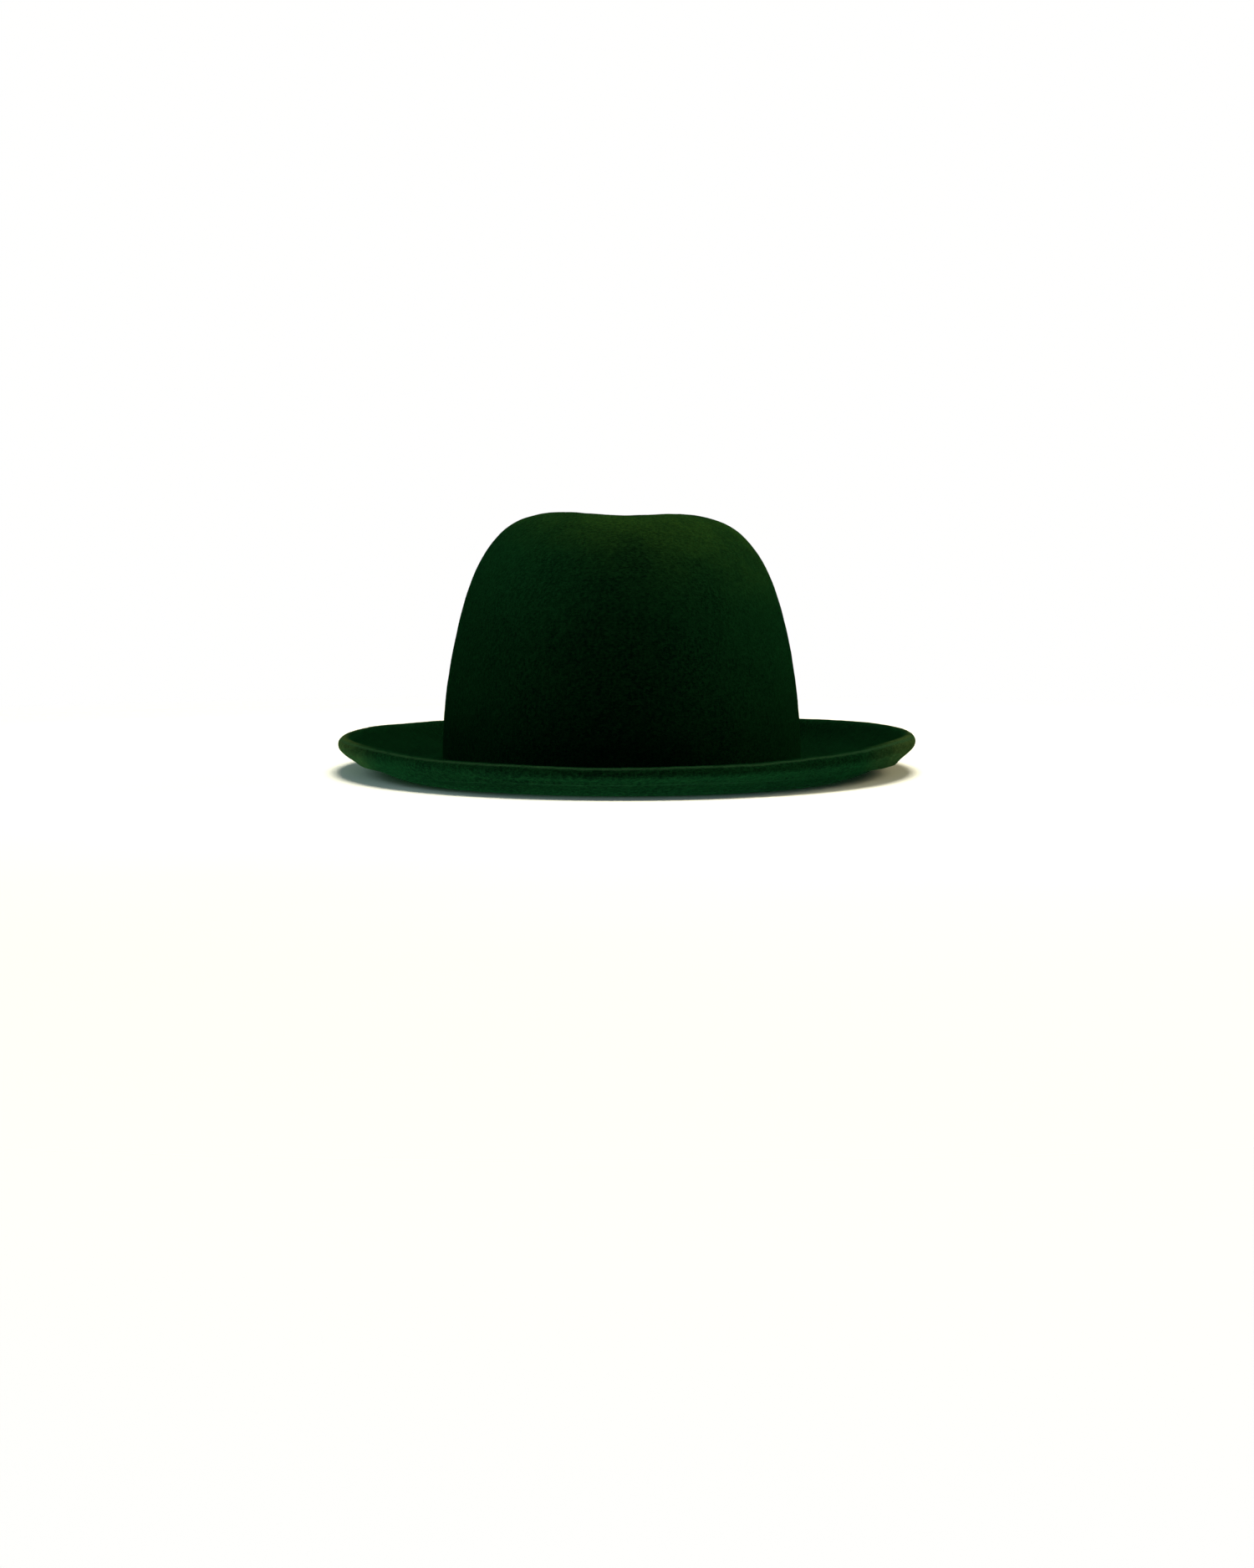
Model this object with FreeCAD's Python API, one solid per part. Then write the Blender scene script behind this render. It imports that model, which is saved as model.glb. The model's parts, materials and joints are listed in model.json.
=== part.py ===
"""A felt bowler hat with an open, rolled brim, its leather sweatband and its satin lining.

It stands on its brim: +Z is up, the origin is the middle of the plane that the brim rests on,
-Y is the front of the hat and +X the wearer's left. All sizes are in millimetres.
"""

import FreeCAD, Part
import math
import os

V = FreeCAD.Vector

# The head that the hat fits: the clear sizes between the faces of the sweatband, 570 mm round.
head_width = 161.0
head_length = 201.0

# The felt body, one sheet from the tip of the crown to the free edge of the welt.
felt = 2.5
crown_rise = 116.7  # middle of the sheet, from the top of the break to the tip
crown_shape = ((1.0, 0.0), (1.0, 0.2), (0.905, 0.625), (0.725, 0.9), (0.5, 1.0), (0.0, 1.0))
dent_depth = 6.0  # the soft hollow pressed into the tip
dent_half_width = 21.0
dent_half_length = 52.0
break_radius = 1.0  # inside radius where the crown turns into the brim
brim_reach = 46.4  # from the crown's line out to the crest, middle of the sheet
brim_fall = 1.09  # how far the brim falls from the break to where it rests
rest_depth = 0.15  # how much of the underside is pressed flat where it rests

# The brim's curl, (at the sides, at the front and back): an open bowl there, a tighter roll here.
curl_radius = (32.0, 12.25)  # of the middle of the sheet
curl_turn = (54.0, 67.5)  # degrees turned up at the crest
curl_straight = (2.0, 4.7)
welt_length = (10.5, 5.0)  # how far the folded edge comes back down the curl
welt_slit = 0.25  # between the two layers at the welt's free edge

# The wire in the fold, and the ferrule that joins its ends.
wire_radius = 0.6
wire_room = 0.3  # between the wire and the felt round it
ferrule_wall = 0.2
ferrule_clearance = 0.02
ferrule_length = 18.0

# The sweatband, its reed and the tape that carries both.
leather = 1.1
tape = 0.5
skin_gap = 0.3  # between skins that lie against each other, room for the thread
band_height = 38.0
band_lift = 0.3  # from the top of the bead to the leather's lower edge
tail_height = 7.5  # top of the tape's tail above the break
reed_radius = 1.0
reed_play = 0.08
bead_wall = 0.42
bead_drop = 2.6  # the reed's centre below the top of the break
butt_gap = 0.6  # between ends that meet at the back
seam_tape_half = 9.0
seam_tape = 0.3
seam_tape_gap = 1.5  # from the tape's tail below and the leather's edge above

# The lining.
satin = 0.4
lining_gap = 0.2
lining_start = 10.0  # lower edge above the break, behind the leather
lining_follow = 52.0  # the side lies against the felt up to this height
tip_gap = 1.5  # between the lining's tip and the lowest point of the dent
seam_place = 0.74  # where on the crown's outline the side meets the tip
shield_place = 0.84  # where on that outline the shield's edge lies
shield = 0.3
shield_gap = 0.1

# Thread, ribbon and label.
thread_radius = 0.2
band_stitch_rise, band_pitch = 2.0, 4.0
stitch_inset = 1.0
hand_stitch, hand_pitch, hand_depth = 6.0, 13.5, 1.0
hand_inset = 3.0  # from the edge of what is sewn
tack_stitch, tack_pitch = 4.0, 60.0
seam_stitch, seam_pitch, seam_row = 2.4, 3.6, 3.0
lining_stitch, lining_pitch = 2.0, 4.0
welt_pitch, welt_inset, welt_bite = 9.0, 1.5, 0.6
ribbon, ribbon_width = 0.35, 7.0
bow_reach, bow_depth = 14.0, 2.4
bow_tail, bow_slant = 15.0, 30.0
knot_width = 5.0
tail_width, tail_pinch, tail_notch = 6.0, 2.4, 0.15
bow_gap = 0.1
bow_height = 9.0  # middle of the bow above the break
label_width, label_height, label_start = 16.0, 24.0, 22.0
label_thickness = 0.12
label_glue = 0.05
label_angle = 55.0  # degrees round from the wearer's left

ring_points = 48
crown_steps = 16
back = math.pi / 2

band_near = skin_gap + tape + skin_gap  # from the felt's inner face to the leather
band_far = band_near + leather
mid_width = head_width / 2 + band_far + felt / 2
mid_length = head_length / 2 + band_far + felt / 2
break_mid = break_radius + felt / 2
low_middle = felt / 2 - rest_depth
wall_start = low_middle + break_mid + brim_fall
fold_gap = 2 * (wire_radius + wire_room)
bead_radius = reed_radius + reed_play + bead_wall
outline = Part.BSplineCurve()
outline.buildFromPolesMultsKnots(
    [V(share, 0, rise) for share, rise in crown_shape], [4, 1, 1, 4], [0, 1, 2, 3], False, 3
)
outline_spans = 3


# ---- skins through rings of points ----


def relaxed(points, closed):
    """Poles whose cubic spline passes close through the points."""
    count = len(points)
    poles = []
    for i, point in enumerate(points):
        if not closed and i in (0, count - 1):
            poles.append(point)
            continue
        bend = points[i - 1] - point * 2 + points[(i + 1) % count]
        poles.append(point - bend * (1 / 6))
    return poles


def knots(count, closed):
    """Multiplicities, knots and degree of a uniform spline with this many poles."""
    if closed:
        return [1] * (count + 1), [float(k) for k in range(count + 1)], 3
    degree = min(3, count - 1)
    inner = count - degree - 1
    return [degree + 1] + [1] * inner + [degree + 1], [float(k) for k in range(inner + 2)], degree


def skin(rings, closed, even=True):
    """A face through rings of points. Rings that are evenly spaced get poles that meet them closely."""
    rows = [relaxed(ring, closed) for ring in rings]
    if even and len(rows) > 3:
        columns = [relaxed(list(column), False) for column in zip(*rows)]
    else:
        columns = [list(column) for column in zip(*rows)]
    u_mults, u_knots, u_degree = knots(len(columns), closed)
    v_mults, v_knots, v_degree = knots(len(rows), False)
    surface = Part.BSplineSurface()
    surface.buildFromPolesMultsKnots(
        columns, u_mults, v_mults, u_knots, v_knots, closed, False, u_degree, v_degree
    )
    return surface.toShape()


def solid_of(faces):
    """The closed solid that the faces bound."""
    shell = Part.makeShell(faces)
    shell.sewShape()
    solid = Part.makeSolid(shell)
    if solid.Volume < 0:
        solid.reverse()
    return solid


def brick(point, us, places, closed):
    """A thin solid between two skins: point(u, place, side) with side 0 or 1.

    A place of 1 is the crown's tip, where the skins close by themselves.
    """
    sides = [[[point(u, place, side) for u in us] for place in places] for side in (0, 1)]
    faces = [skin(rings, closed) for rings in sides]
    for end in (0, -1):
        if places[end] < 1:
            faces.append(skin([sides[0][end], sides[1][end]], closed))
    if not closed:
        for end in (0, -1):
            edges = [[ring[end] for ring in rings] for rings in sides]
            faces.append(skin(edges, False))
    return solid_of(faces)


def rod(points, radius):
    """A round rod along a smooth open path."""
    path = Part.BSplineCurve()
    path.interpolate(points)
    start = path.value(path.FirstParameter)
    circle = Part.makeCircle(radius, start, path.tangent(path.FirstParameter)[0])
    return Part.Wire(path.toShape()).makePipeShell([Part.Wire(circle)], True, False)


def thread(start, end):
    """One straight stitch."""
    return Part.makeCylinder(thread_radius, start.distanceToPoint(end), start, end - start)


# ---- the crown's wall ----


def outward(angle):
    """The level unit vector straight out of the headline oval."""
    return V(mid_length * math.cos(angle), mid_width * math.sin(angle), 0).normalize()


def place_at(height):
    """Where on the crown's outline a height above the break lies. Below the break it is negative."""
    share = height / crown_rise
    if share <= 0:
        return share
    low, high = 0.0, 1.0
    for _ in range(40):
        half = (low + high) / 2
        low, high = (half, high) if outline.value(outline_spans * half).z < share else (low, half)
    return low


def crown_middle(angle, place, dented):
    """A point on the middle of the crown's sheet; place runs from 0 at the break to 1 at the tip."""
    share = outline.value(outline_spans * max(place, 0.0))
    x = mid_width * share.x * math.cos(angle)
    y = mid_length * share.x * math.sin(angle)
    z = wall_start + crown_rise * (share.z if place > 0 else place)
    if dented and place > 0:
        hollow = math.exp(-((x / dent_half_width) ** 2) - (y / dent_half_length) ** 2)
        z -= dent_depth * hollow * share.z
    return V(x, y, z)


def crown_point(angle, place, inward, dented=True):
    """The crown's middle moved inward along its own normal."""
    here = crown_middle(angle, place, dented)
    if place <= 0:
        return here - outward(angle) * inward
    if place >= 1:
        return here - V(0, 0, inward)
    step = 1e-4
    along = crown_middle(angle, place, dented) - crown_middle(angle, place - step, dented)
    around = crown_middle(angle + step, place, dented) - crown_middle(angle - step, place, dented)
    return here - around.cross(along).normalize() * inward


def behind(angle, place, depth):
    """A point inside the crown, at a depth in from the felt's inner face."""
    return crown_point(angle, place, felt / 2 + depth, dented=False)


def on_wall(angle, height, depth):
    """A point at a height above the break, at a depth in from the felt's inner face."""
    return behind(angle, place_at(height), depth)


def spaced(low, high, steps):
    """Evenly spaced values from low to high."""
    return [low + (high - low) * i / steps for i in range(steps + 1)]


def round_angles(count=ring_points):
    """The angles of a closed ring."""
    return [2 * math.pi * i / count for i in range(count)]


def split_angles(depth, gap):
    """The angles of a ring that is open by a gap at the back."""
    half = gap / 2 / (mid_width - felt / 2 - depth)
    return spaced(back + half, back + 2 * math.pi - half, ring_points)


def even_angles(depth, pitch, place=0):
    """Angles that step round the wall by about one pitch, starting half a pitch from the back."""
    fine = 1440
    points = [behind(back + 2 * math.pi * i / fine, place, depth) for i in range(fine + 1)]
    lengths = [0.0]
    for a, b in zip(points, points[1:]):
        lengths.append(lengths[-1] + a.distanceToPoint(b))
    count = int(lengths[-1] / pitch)
    angles, i = [], 0
    for k in range(count):
        goal = lengths[-1] * (k + 0.5) / count
        while lengths[i + 1] < goal:
            i += 1
        part = (goal - lengths[i]) / (lengths[i + 1] - lengths[i])
        angles.append(back + 2 * math.pi * (i + part) / fine)
    return angles


# ---- the felt body ----


def arc(path, radius, turn, steps):
    """Adds an arc to a path of (distance out, height, heading). A positive turn is to the left."""
    out, height, heading = path[-1]
    side = math.copysign(radius, turn)
    middle_out, middle_height = out - side * math.sin(heading), height + side * math.cos(heading)
    for i in range(1, steps + 1):
        now = heading + turn * i / steps
        path.append((middle_out + side * math.sin(now), middle_height - side * math.cos(now), now))


def run(path, length, steps):
    """Adds a straight run to a path."""
    out, height, heading = path[-1]
    for i in range(1, steps + 1):
        part = length * i / steps
        path.append((out + part * math.cos(heading), height + part * math.sin(heading), heading))


def blend(values, angle):
    """A value between the one at the sides and the one at the front and back."""
    side, front = values
    share = math.cos(angle) ** 4
    return side * share + front * (1 - share)


def brim_path(angle):
    """The middle of the sheet from the top of the break to the crest."""
    radius, straight = blend(curl_radius, angle), blend(curl_straight, angle)
    turn = math.radians(blend(curl_turn, angle))
    lowest_out = brim_reach - radius * math.sin(turn) - straight * math.cos(turn)
    across, up = lowest_out - break_mid, low_middle + radius - wall_start
    span = math.hypot(across, up)
    dip = math.atan2(up, across) - math.asin((radius - break_mid) / span)
    path = [(0.0, wall_start, -math.pi / 2)]
    arc(path, break_mid, math.pi / 2 + dip, 6)
    run(path, math.sqrt(span**2 - (radius - break_mid) ** 2), 6)
    arc(path, radius, turn - dip, 8)
    run(path, straight, 2)
    return path


def roll_back(angle, back_by):
    """The middle of the sheet at a distance back from the crest."""
    radius, straight = blend(curl_radius, angle), blend(curl_straight, angle)
    out, height, heading = brim_path(angle)[-1]
    path = [(out, height, heading + math.pi)]
    run(path, min(back_by, straight), 1)
    if back_by > straight:
        arc(path, radius, -(back_by - straight) / radius, 1)
    out, height, heading = path[-1]
    return out, height, heading - math.pi


def shifted(stop, right):
    """A path's stop moved to the right of its heading, as (distance out, height)."""
    out, height, heading = stop
    return out + right * math.sin(heading), height - right * math.cos(heading)


def placed(angle, spot):
    """A point in space from an angle and a (distance out, height)."""
    middle = V(mid_width * math.cos(angle), mid_length * math.sin(angle), spot[1])
    return middle + outward(angle) * spot[0]


def welt_slit_at(angle, back_by):
    """The gap between the two layers of the fold."""
    closing = (1 + math.cos(math.pi * back_by / blend(welt_length, angle))) / 2
    return welt_slit + (fold_gap - welt_slit) * closing


def half_turn(middle, heading, radius, steps=8):
    """Points that turn right by half a circle, from the left of the heading to its right."""
    angles = [heading + math.pi / 2 - math.pi * i / steps for i in range(steps + 1)]
    return [(middle[0] + radius * math.cos(a), middle[1] + radius * math.sin(a)) for a in angles]


def fold_middle(angle):
    """The middle of the fold, where the wire lies."""
    return shifted(brim_path(angle)[-1], felt / 2 + fold_gap / 2)


def felt_outline(angle):
    """The felt's outline at one angle, tip to tip, as stretches that share their end points."""
    path = brim_path(angle)
    crest_heading = path[-1][2]
    backs = spaced(0, blend(welt_length, angle), 6)
    rolls = [(roll_back(angle, b), welt_slit_at(angle, b)) for b in backs]
    outer = [shifted(stop, 1.5 * felt + slit) for stop, slit in rolls]
    inner = [shifted(stop, 0.5 * felt + slit) for stop, slit in rolls]
    edge_middle = shifted(rolls[-1][0], felt + welt_slit)
    edge_heading = rolls[-1][0][2] + math.pi
    fold = fold_middle(angle)
    brim = [
        [shifted(stop, -felt / 2) for stop in path],
        half_turn(fold, crest_heading, fold_gap / 2 + felt),
        outer,
        half_turn(edge_middle, edge_heading, felt / 2),
        inner[::-1],
        half_turn(fold, crest_heading, fold_gap / 2)[::-1],
        [shifted(stop, felt / 2) for stop in path[::-1]],
    ]
    places = spaced(0, 1, crown_steps)
    return (
        [[crown_point(angle, place, -felt / 2) for place in places[::-1]]]
        + [[placed(angle, spot) for spot in stretch] for stretch in brim]
        + [[crown_point(angle, place, felt / 2) for place in places]]
    )


def felt_body():
    """Crown, brim and welt: one sheet of felt, pressed flat where the brim rests."""
    outlines = [felt_outline(angle) for angle in round_angles()]
    faces = []
    for k, stretch in enumerate(outlines[0]):
        rings = [[lines[k][j] for lines in outlines] for j in range(len(stretch))]
        faces.append(skin(rings, True, even=k not in (1, 7)))
    body = solid_of(faces)
    reach = 4 * head_length
    return body.common(Part.makeBox(reach, reach, reach, V(-reach / 2, -reach / 2, 0)))


# ---- the wire in the fold ----


def fold_path(angles):
    """The line along the middle of the fold."""
    return [placed(angle, fold_middle(angle)) for angle in angles]


def fold_half(length):
    """Half the angle that a length covers along the fold at the back."""
    near, far = fold_path([back - 0.01, back + 0.01])
    return length / 2 * 0.02 / near.distanceToPoint(far)


def brim_wire():
    """A hoop of wire, open by the butt gap at the back."""
    half = fold_half(butt_gap)
    angles = spaced(back + half, back + 2 * math.pi - half, 2 * ring_points)
    return rod(fold_path(angles), wire_radius)


def brim_wire_ferrule():
    """A crimped tube over the two ends of the wire."""
    half = fold_half(ferrule_length)
    path = fold_path(spaced(back - half, back + half, 8))
    bore = wire_radius + ferrule_clearance
    return rod(path, bore + ferrule_wall).cut(rod(path, bore))


def welt_stitches():
    """Blind stitches across the slit, which hold the welt down."""
    stitches = []
    near = felt / 2 - welt_bite
    for angle in even_angles(-brim_reach, welt_pitch):
        back_by = blend(welt_length, angle) - welt_inset
        far = felt / 2 + welt_slit_at(angle, back_by) + welt_bite
        stop = roll_back(angle, back_by)
        stitches.append(thread(placed(angle, shifted(stop, near)), placed(angle, shifted(stop, far))))
    return Part.makeCompound(stitches)


# ---- the sweatband ----


def bead_path(angles):
    """The reed's line, tucked under the curve of the break."""
    reach = break_mid + felt / 2 + skin_gap / 2 + bead_radius
    out = break_mid - math.sqrt(reach**2 - bead_drop**2)
    return [placed(angle, (out, wall_start - bead_drop)) for angle in angles]


band_low = bead_radius + band_lift - bead_drop
band_high = band_low + band_height


def sweatband():
    """The leather strip, its ends butted at the back."""
    places = [place_at(h) for h in spaced(band_low, band_high, 10)]
    depths = (band_near, band_far)
    angles = split_angles(band_far, butt_gap)
    return brick(lambda a, p, side: behind(a, p, depths[side]), angles, places, False)


def sweatband_reed():
    """The reed, its ends butted at the back."""
    return rod(bead_path(split_angles(band_far, butt_gap)), reed_radius)


def reed_tape():
    """Cotton tape folded round the reed, with its tail up behind the leather."""
    angles = split_angles(band_far, butt_gap)
    bead = rod(bead_path(angles), bead_radius)
    tail_low = bead_radius - bead_wall / 2 - bead_drop
    places = [place_at(h) for h in spaced(tail_low, tail_height, 5)]
    depths = (skin_gap, skin_gap + tape)
    tail = brick(lambda a, p, side: behind(a, p, depths[side]), angles, places, False)
    return bead.fuse(tail).cut(rod(bead_path(angles), reed_radius + reed_play))


def patch(angle, half_width, low, high, near, far):
    """A small sheet that lies against the wall."""
    step = 0.01
    speed = on_wall(angle + step, low, near).distanceToPoint(on_wall(angle, low, near)) / step
    angles = spaced(angle - half_width / speed, angle + half_width / speed, 8)
    places = [place_at(h) for h in spaced(low, high, 8)]
    depths = (near, far)
    return brick(lambda a, p, side: behind(a, p, depths[side]), angles, places, False)


def sweatband_seam_tape():
    """The backing that the leather's two ends are sewn to."""
    near = band_near - seam_tape - skin_gap / 4
    low, high = tail_height + seam_tape_gap, band_high - seam_tape_gap
    return patch(back, seam_tape_half, low, high, near, near + seam_tape)


def size_label():
    """A small woven label, glued to the lining."""
    near = lining_gap + satin + label_glue
    angle = math.radians(label_angle)
    high = label_start + label_height
    return patch(angle, label_width / 2, label_start, high, near, near + label_thickness)


def staple(tops, feet):
    """A bar between two tops with a leg down to each foot."""
    legs = [thread(top, foot) for top, foot in zip(tops, feet)]
    return thread(*tops).fuse(legs).removeSplitter()


def sweatband_stitches():
    """Zigzag thread that joins the leather's lower edge to the tape's tail."""
    low = band_low + stitch_inset
    angles = even_angles(band_far, band_pitch / 2)
    stitches = []
    for k, (angle, after) in enumerate(zip(angles, angles[1:])):
        heights = [low + band_stitch_rise * (i % 2) for i in (k, k + 1)]
        tops = [on_wall(a, h, band_far) for a, h in zip((angle, after), heights)]
        foot = on_wall(angle, heights[0], skin_gap + tape / 2)
        stitches.append(staple(tops, [foot]))
    return Part.makeCompound(stitches)


def sweatband_seam_stitches():
    """Two upright rows, one on each side of the butted ends, through the leather and its backing."""
    low_end = tail_height + seam_tape_gap + stitch_inset
    count = int((band_high - seam_tape_gap - stitch_inset - low_end) / seam_pitch)
    stitches = []
    for side in (-1, 1):
        angle = back + side * seam_row / (head_width / 2)
        for k in range(count):
            low = low_end + seam_pitch * k
            heights = (low, low + seam_stitch)
            tops = [on_wall(angle, h, band_far) for h in heights]
            feet = [on_wall(angle, h, band_near - seam_tape) for h in heights]
            stitches.append(staple(tops, feet))
    return Part.makeCompound(stitches)


def hand_stitches(height, depth, length, pitch):
    """Level stitches round the wall, from a depth into the felt."""
    stitches = []
    for angle in even_angles(depth, pitch):
        step = 0.01
        speed = on_wall(angle + step, 0, depth).distanceToPoint(on_wall(angle, 0, depth)) / step
        ends = [angle - length / 2 / speed, angle + length / 2 / speed]
        tops = [on_wall(end, height, depth) for end in ends]
        feet = [on_wall(end, height, -hand_depth) for end in ends]
        stitches.append(staple(tops, feet))
    return Part.makeCompound(stitches)


def headline_stitches():
    """Hand stitches that hold the tape's tail to the felt."""
    return hand_stitches(tail_height - hand_inset, skin_gap + tape, hand_stitch, hand_pitch)


def lining_tacks():
    """Stitches that hold the lining's lower edge to the felt, behind the leather."""
    return hand_stitches(lining_start + hand_inset, lining_gap + satin, tack_stitch, tack_pitch)


# ---- the bow at the back of the sweatband ----


def bow_face():
    """Where the backs of the loops lie, with room behind them for the two tails."""
    reach = mid_width - felt / 2 - band_far
    span = mid_length - felt / 2 - band_far
    return span * math.sqrt(1 - (bow_reach / reach) ** 2) - 3 * bow_gap - 2 * ribbon


def loop_outline(low_x, high_x, near_y, far_y):
    """A level slot shape with round ends."""
    radius = (near_y - far_y) / 2
    middle = (near_y + far_y) / 2
    left, right = low_x + radius, high_x - radius
    edges = [
        Part.makeLine(V(left, near_y, 0), V(right, near_y, 0)),
        Part.Arc(V(right, near_y, 0), V(high_x, middle, 0), V(right, far_y, 0)).toShape(),
        Part.makeLine(V(right, far_y, 0), V(left, far_y, 0)),
        Part.Arc(V(left, far_y, 0), V(low_x, middle, 0), V(left, near_y, 0)).toShape(),
    ]
    return Part.Wire(edges)


def sweatband_bow():
    """Two loops and two tails of ribbon."""
    face = bow_face()
    middle = V(0, face, wall_start + bow_height)
    pieces = []
    for side in (-1, 1):
        ends = sorted((side * bow_gap, side * bow_reach))
        outer = Part.Face(loop_outline(ends[0], ends[1], face, face - bow_depth))
        hollow = Part.Face(
            loop_outline(ends[0] + ribbon, ends[1] - ribbon, face - ribbon, face - bow_depth + ribbon)
        )
        loop = outer.cut(hollow).extrude(V(0, 0, ribbon_width))
        loop.translate(V(0, 0, middle.z - ribbon_width / 2))
        tail_face = face + bow_gap + (ribbon + bow_gap) * (side > 0)
        corners = [(0, -1), (0, 1), (1, 1), (1 - tail_notch, 0), (1, -1)]
        widths = [tail_pinch if x == 0 else tail_width for x, _ in corners]
        flat = [V(bow_tail * x, tail_face, w / 2 * z) for (x, z), w in zip(corners, widths)]
        tail = Part.Face(Part.makePolygon(flat + flat[:1])).extrude(V(0, ribbon, 0))
        tail.translate(V(0, 0, middle.z))
        tail.rotate(middle, V(0, 1, 0), bow_slant if side > 0 else 180 - bow_slant)
        pieces += [loop, tail]
    return Part.makeCompound(pieces)


def knot_reach():
    """The near and far faces of what the knot wraps."""
    face = bow_face()
    return face + 3 * bow_gap + 2 * ribbon, face - bow_depth - bow_gap


def bow_knot():
    """The short wrap round the middle of the bow."""
    near, far = knot_reach()
    tall = ribbon_width + 2 * bow_gap
    low = wall_start + bow_height - tall / 2
    hole = Part.makeBox(knot_width, near - far, tall, V(-knot_width / 2, far, low))
    wrap = Part.makeBox(
        knot_width,
        near - far + 2 * ribbon,
        tall + 2 * ribbon,
        V(-knot_width / 2, far - ribbon, low - ribbon),
    )
    upright = [edge for edge in wrap.Edges if abs(edge.tangentAt(edge.FirstParameter).x) > 0.99]
    return wrap.makeFillet(ribbon, upright).cut(hole)


def bow_stitches():
    """Two stitches from the back of the knot into the leather."""
    near = knot_reach()[0]
    stitches = []
    for side in (-1, 1):
        foot = on_wall(back, bow_height + side * ribbon_width / 4, band_far - leather / 2)
        stitches.append(thread(V(0, near + ribbon / 2, foot.z), foot))
    return Part.makeCompound(stitches)


# ---- the lining ----


def lining_depth(place):
    """How far in from the felt the lining hangs: close to it low down, clear of the dent at the tip."""
    start = place_at(lining_follow)
    part = min(max((place - start) / (seam_place - start), 0), 1)
    return lining_gap + (dent_depth + tip_gap - lining_gap) * part * part * (3 - 2 * part)


def lining_sheet(low, high, steps):
    """A stretch of the lining between two places on the crown's outline."""

    def point(angle, place, side):
        return behind(angle, place, lining_depth(place) + satin * side)

    return brick(point, round_angles(), spaced(low, high, steps), True)


def lining_side():
    """The satin round the side, its lower edge behind the leather."""
    return lining_sheet(place_at(lining_start), seam_place, 14)


def lining_tip():
    """The satin oval across the top."""
    return lining_sheet(seam_place, 1, 8)


def lining_seam_stitches():
    """The thread across the seam between side and tip."""
    depth = lining_depth(seam_place) + satin
    reach = lining_stitch / 2 / crown_rise
    stitches = []
    for angle in even_angles(depth, lining_pitch, seam_place):
        ends = [behind(angle, seam_place + side * reach, depth) for side in (-1, 1)]
        stitches.append(thread(*ends))
    return Part.makeCompound(stitches)


def tip_shield():
    """The clear film over the lining's tip."""
    places = spaced(shield_place, 1, 5)
    near = lining_depth(1) + satin + shield_gap
    return brick(lambda a, p, side: behind(a, p, near + shield * side), round_angles(), places, True)


nodes = (
    felt_body,
    brim_wire,
    brim_wire_ferrule,
    welt_stitches,
    sweatband,
    sweatband_reed,
    reed_tape,
    sweatband_stitches,
    headline_stitches,
    sweatband_seam_tape,
    sweatband_seam_stitches,
    sweatband_bow,
    bow_knot,
    bow_stitches,
    lining_side,
    lining_tip,
    lining_seam_stitches,
    lining_tacks,
    tip_shield,
    size_label,
)

os.makedirs("parts", exist_ok=True)
for node in nodes:
    shape = node()
    print(node.__name__, shape.isValid(), len(shape.Solids), round(shape.Volume, 1), shape.BoundBox)
    shape.exportStep(f"parts/{node.__name__}.step")
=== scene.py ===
import json
import math
import random

import bmesh
import bpy
import numpy as np
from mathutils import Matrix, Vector, noise

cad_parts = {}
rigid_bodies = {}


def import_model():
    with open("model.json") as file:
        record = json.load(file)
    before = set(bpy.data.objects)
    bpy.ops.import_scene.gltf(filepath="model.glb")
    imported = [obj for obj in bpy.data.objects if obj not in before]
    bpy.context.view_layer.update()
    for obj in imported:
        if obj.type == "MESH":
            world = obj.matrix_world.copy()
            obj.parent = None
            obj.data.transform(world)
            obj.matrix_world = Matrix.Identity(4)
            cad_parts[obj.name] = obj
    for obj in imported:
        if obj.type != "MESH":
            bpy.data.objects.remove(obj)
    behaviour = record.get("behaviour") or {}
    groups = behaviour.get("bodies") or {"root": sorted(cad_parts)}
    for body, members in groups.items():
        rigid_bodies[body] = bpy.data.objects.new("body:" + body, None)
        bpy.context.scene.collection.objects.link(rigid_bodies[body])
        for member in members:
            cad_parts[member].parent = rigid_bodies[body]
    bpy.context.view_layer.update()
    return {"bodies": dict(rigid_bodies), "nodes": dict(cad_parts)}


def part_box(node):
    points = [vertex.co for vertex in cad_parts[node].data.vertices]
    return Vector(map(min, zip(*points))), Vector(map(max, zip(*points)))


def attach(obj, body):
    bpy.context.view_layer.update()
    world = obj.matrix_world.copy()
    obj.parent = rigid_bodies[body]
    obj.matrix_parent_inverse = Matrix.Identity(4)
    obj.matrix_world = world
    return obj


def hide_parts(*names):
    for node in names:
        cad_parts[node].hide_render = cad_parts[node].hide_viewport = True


# A soft felt bowler hat: felt, roll and welt outside; leather, tape, satin and bow inside.

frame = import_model()
body = list(frame["bodies"])[0]
random.seed(7)

# sizes that come from the frame

bandLow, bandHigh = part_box("sweatband")
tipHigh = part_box("lining_tip")[1]
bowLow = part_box("sweatband_bow")[0]
knotLow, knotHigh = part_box("bow_knot")

wall = {
    "felt": 0.0025,
    "toLeather": 0.0011,  # from the felt's inner face to the leather
    "leather": 0.0011,
    "satin": 0.0004,
    "liningGap": 0.0002,
    "tipDrop": 0.0075,  # from the felt down to the lining's tip
    "bandDrop": 0.0008,  # the leather's lower edge below the top of the break
}
midWide = bandHigh.x + wall["toLeather"] + wall["felt"] / 2
midLong = bandHigh.y + wall["toLeather"] + wall["felt"] / 2
breakTop = bandLow.z + wall["bandDrop"]
crownRise = tipHigh.z + wall["tipDrop"] + wall["felt"] / 2 - breakTop
back = math.pi / 2

# mesh helpers


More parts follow.
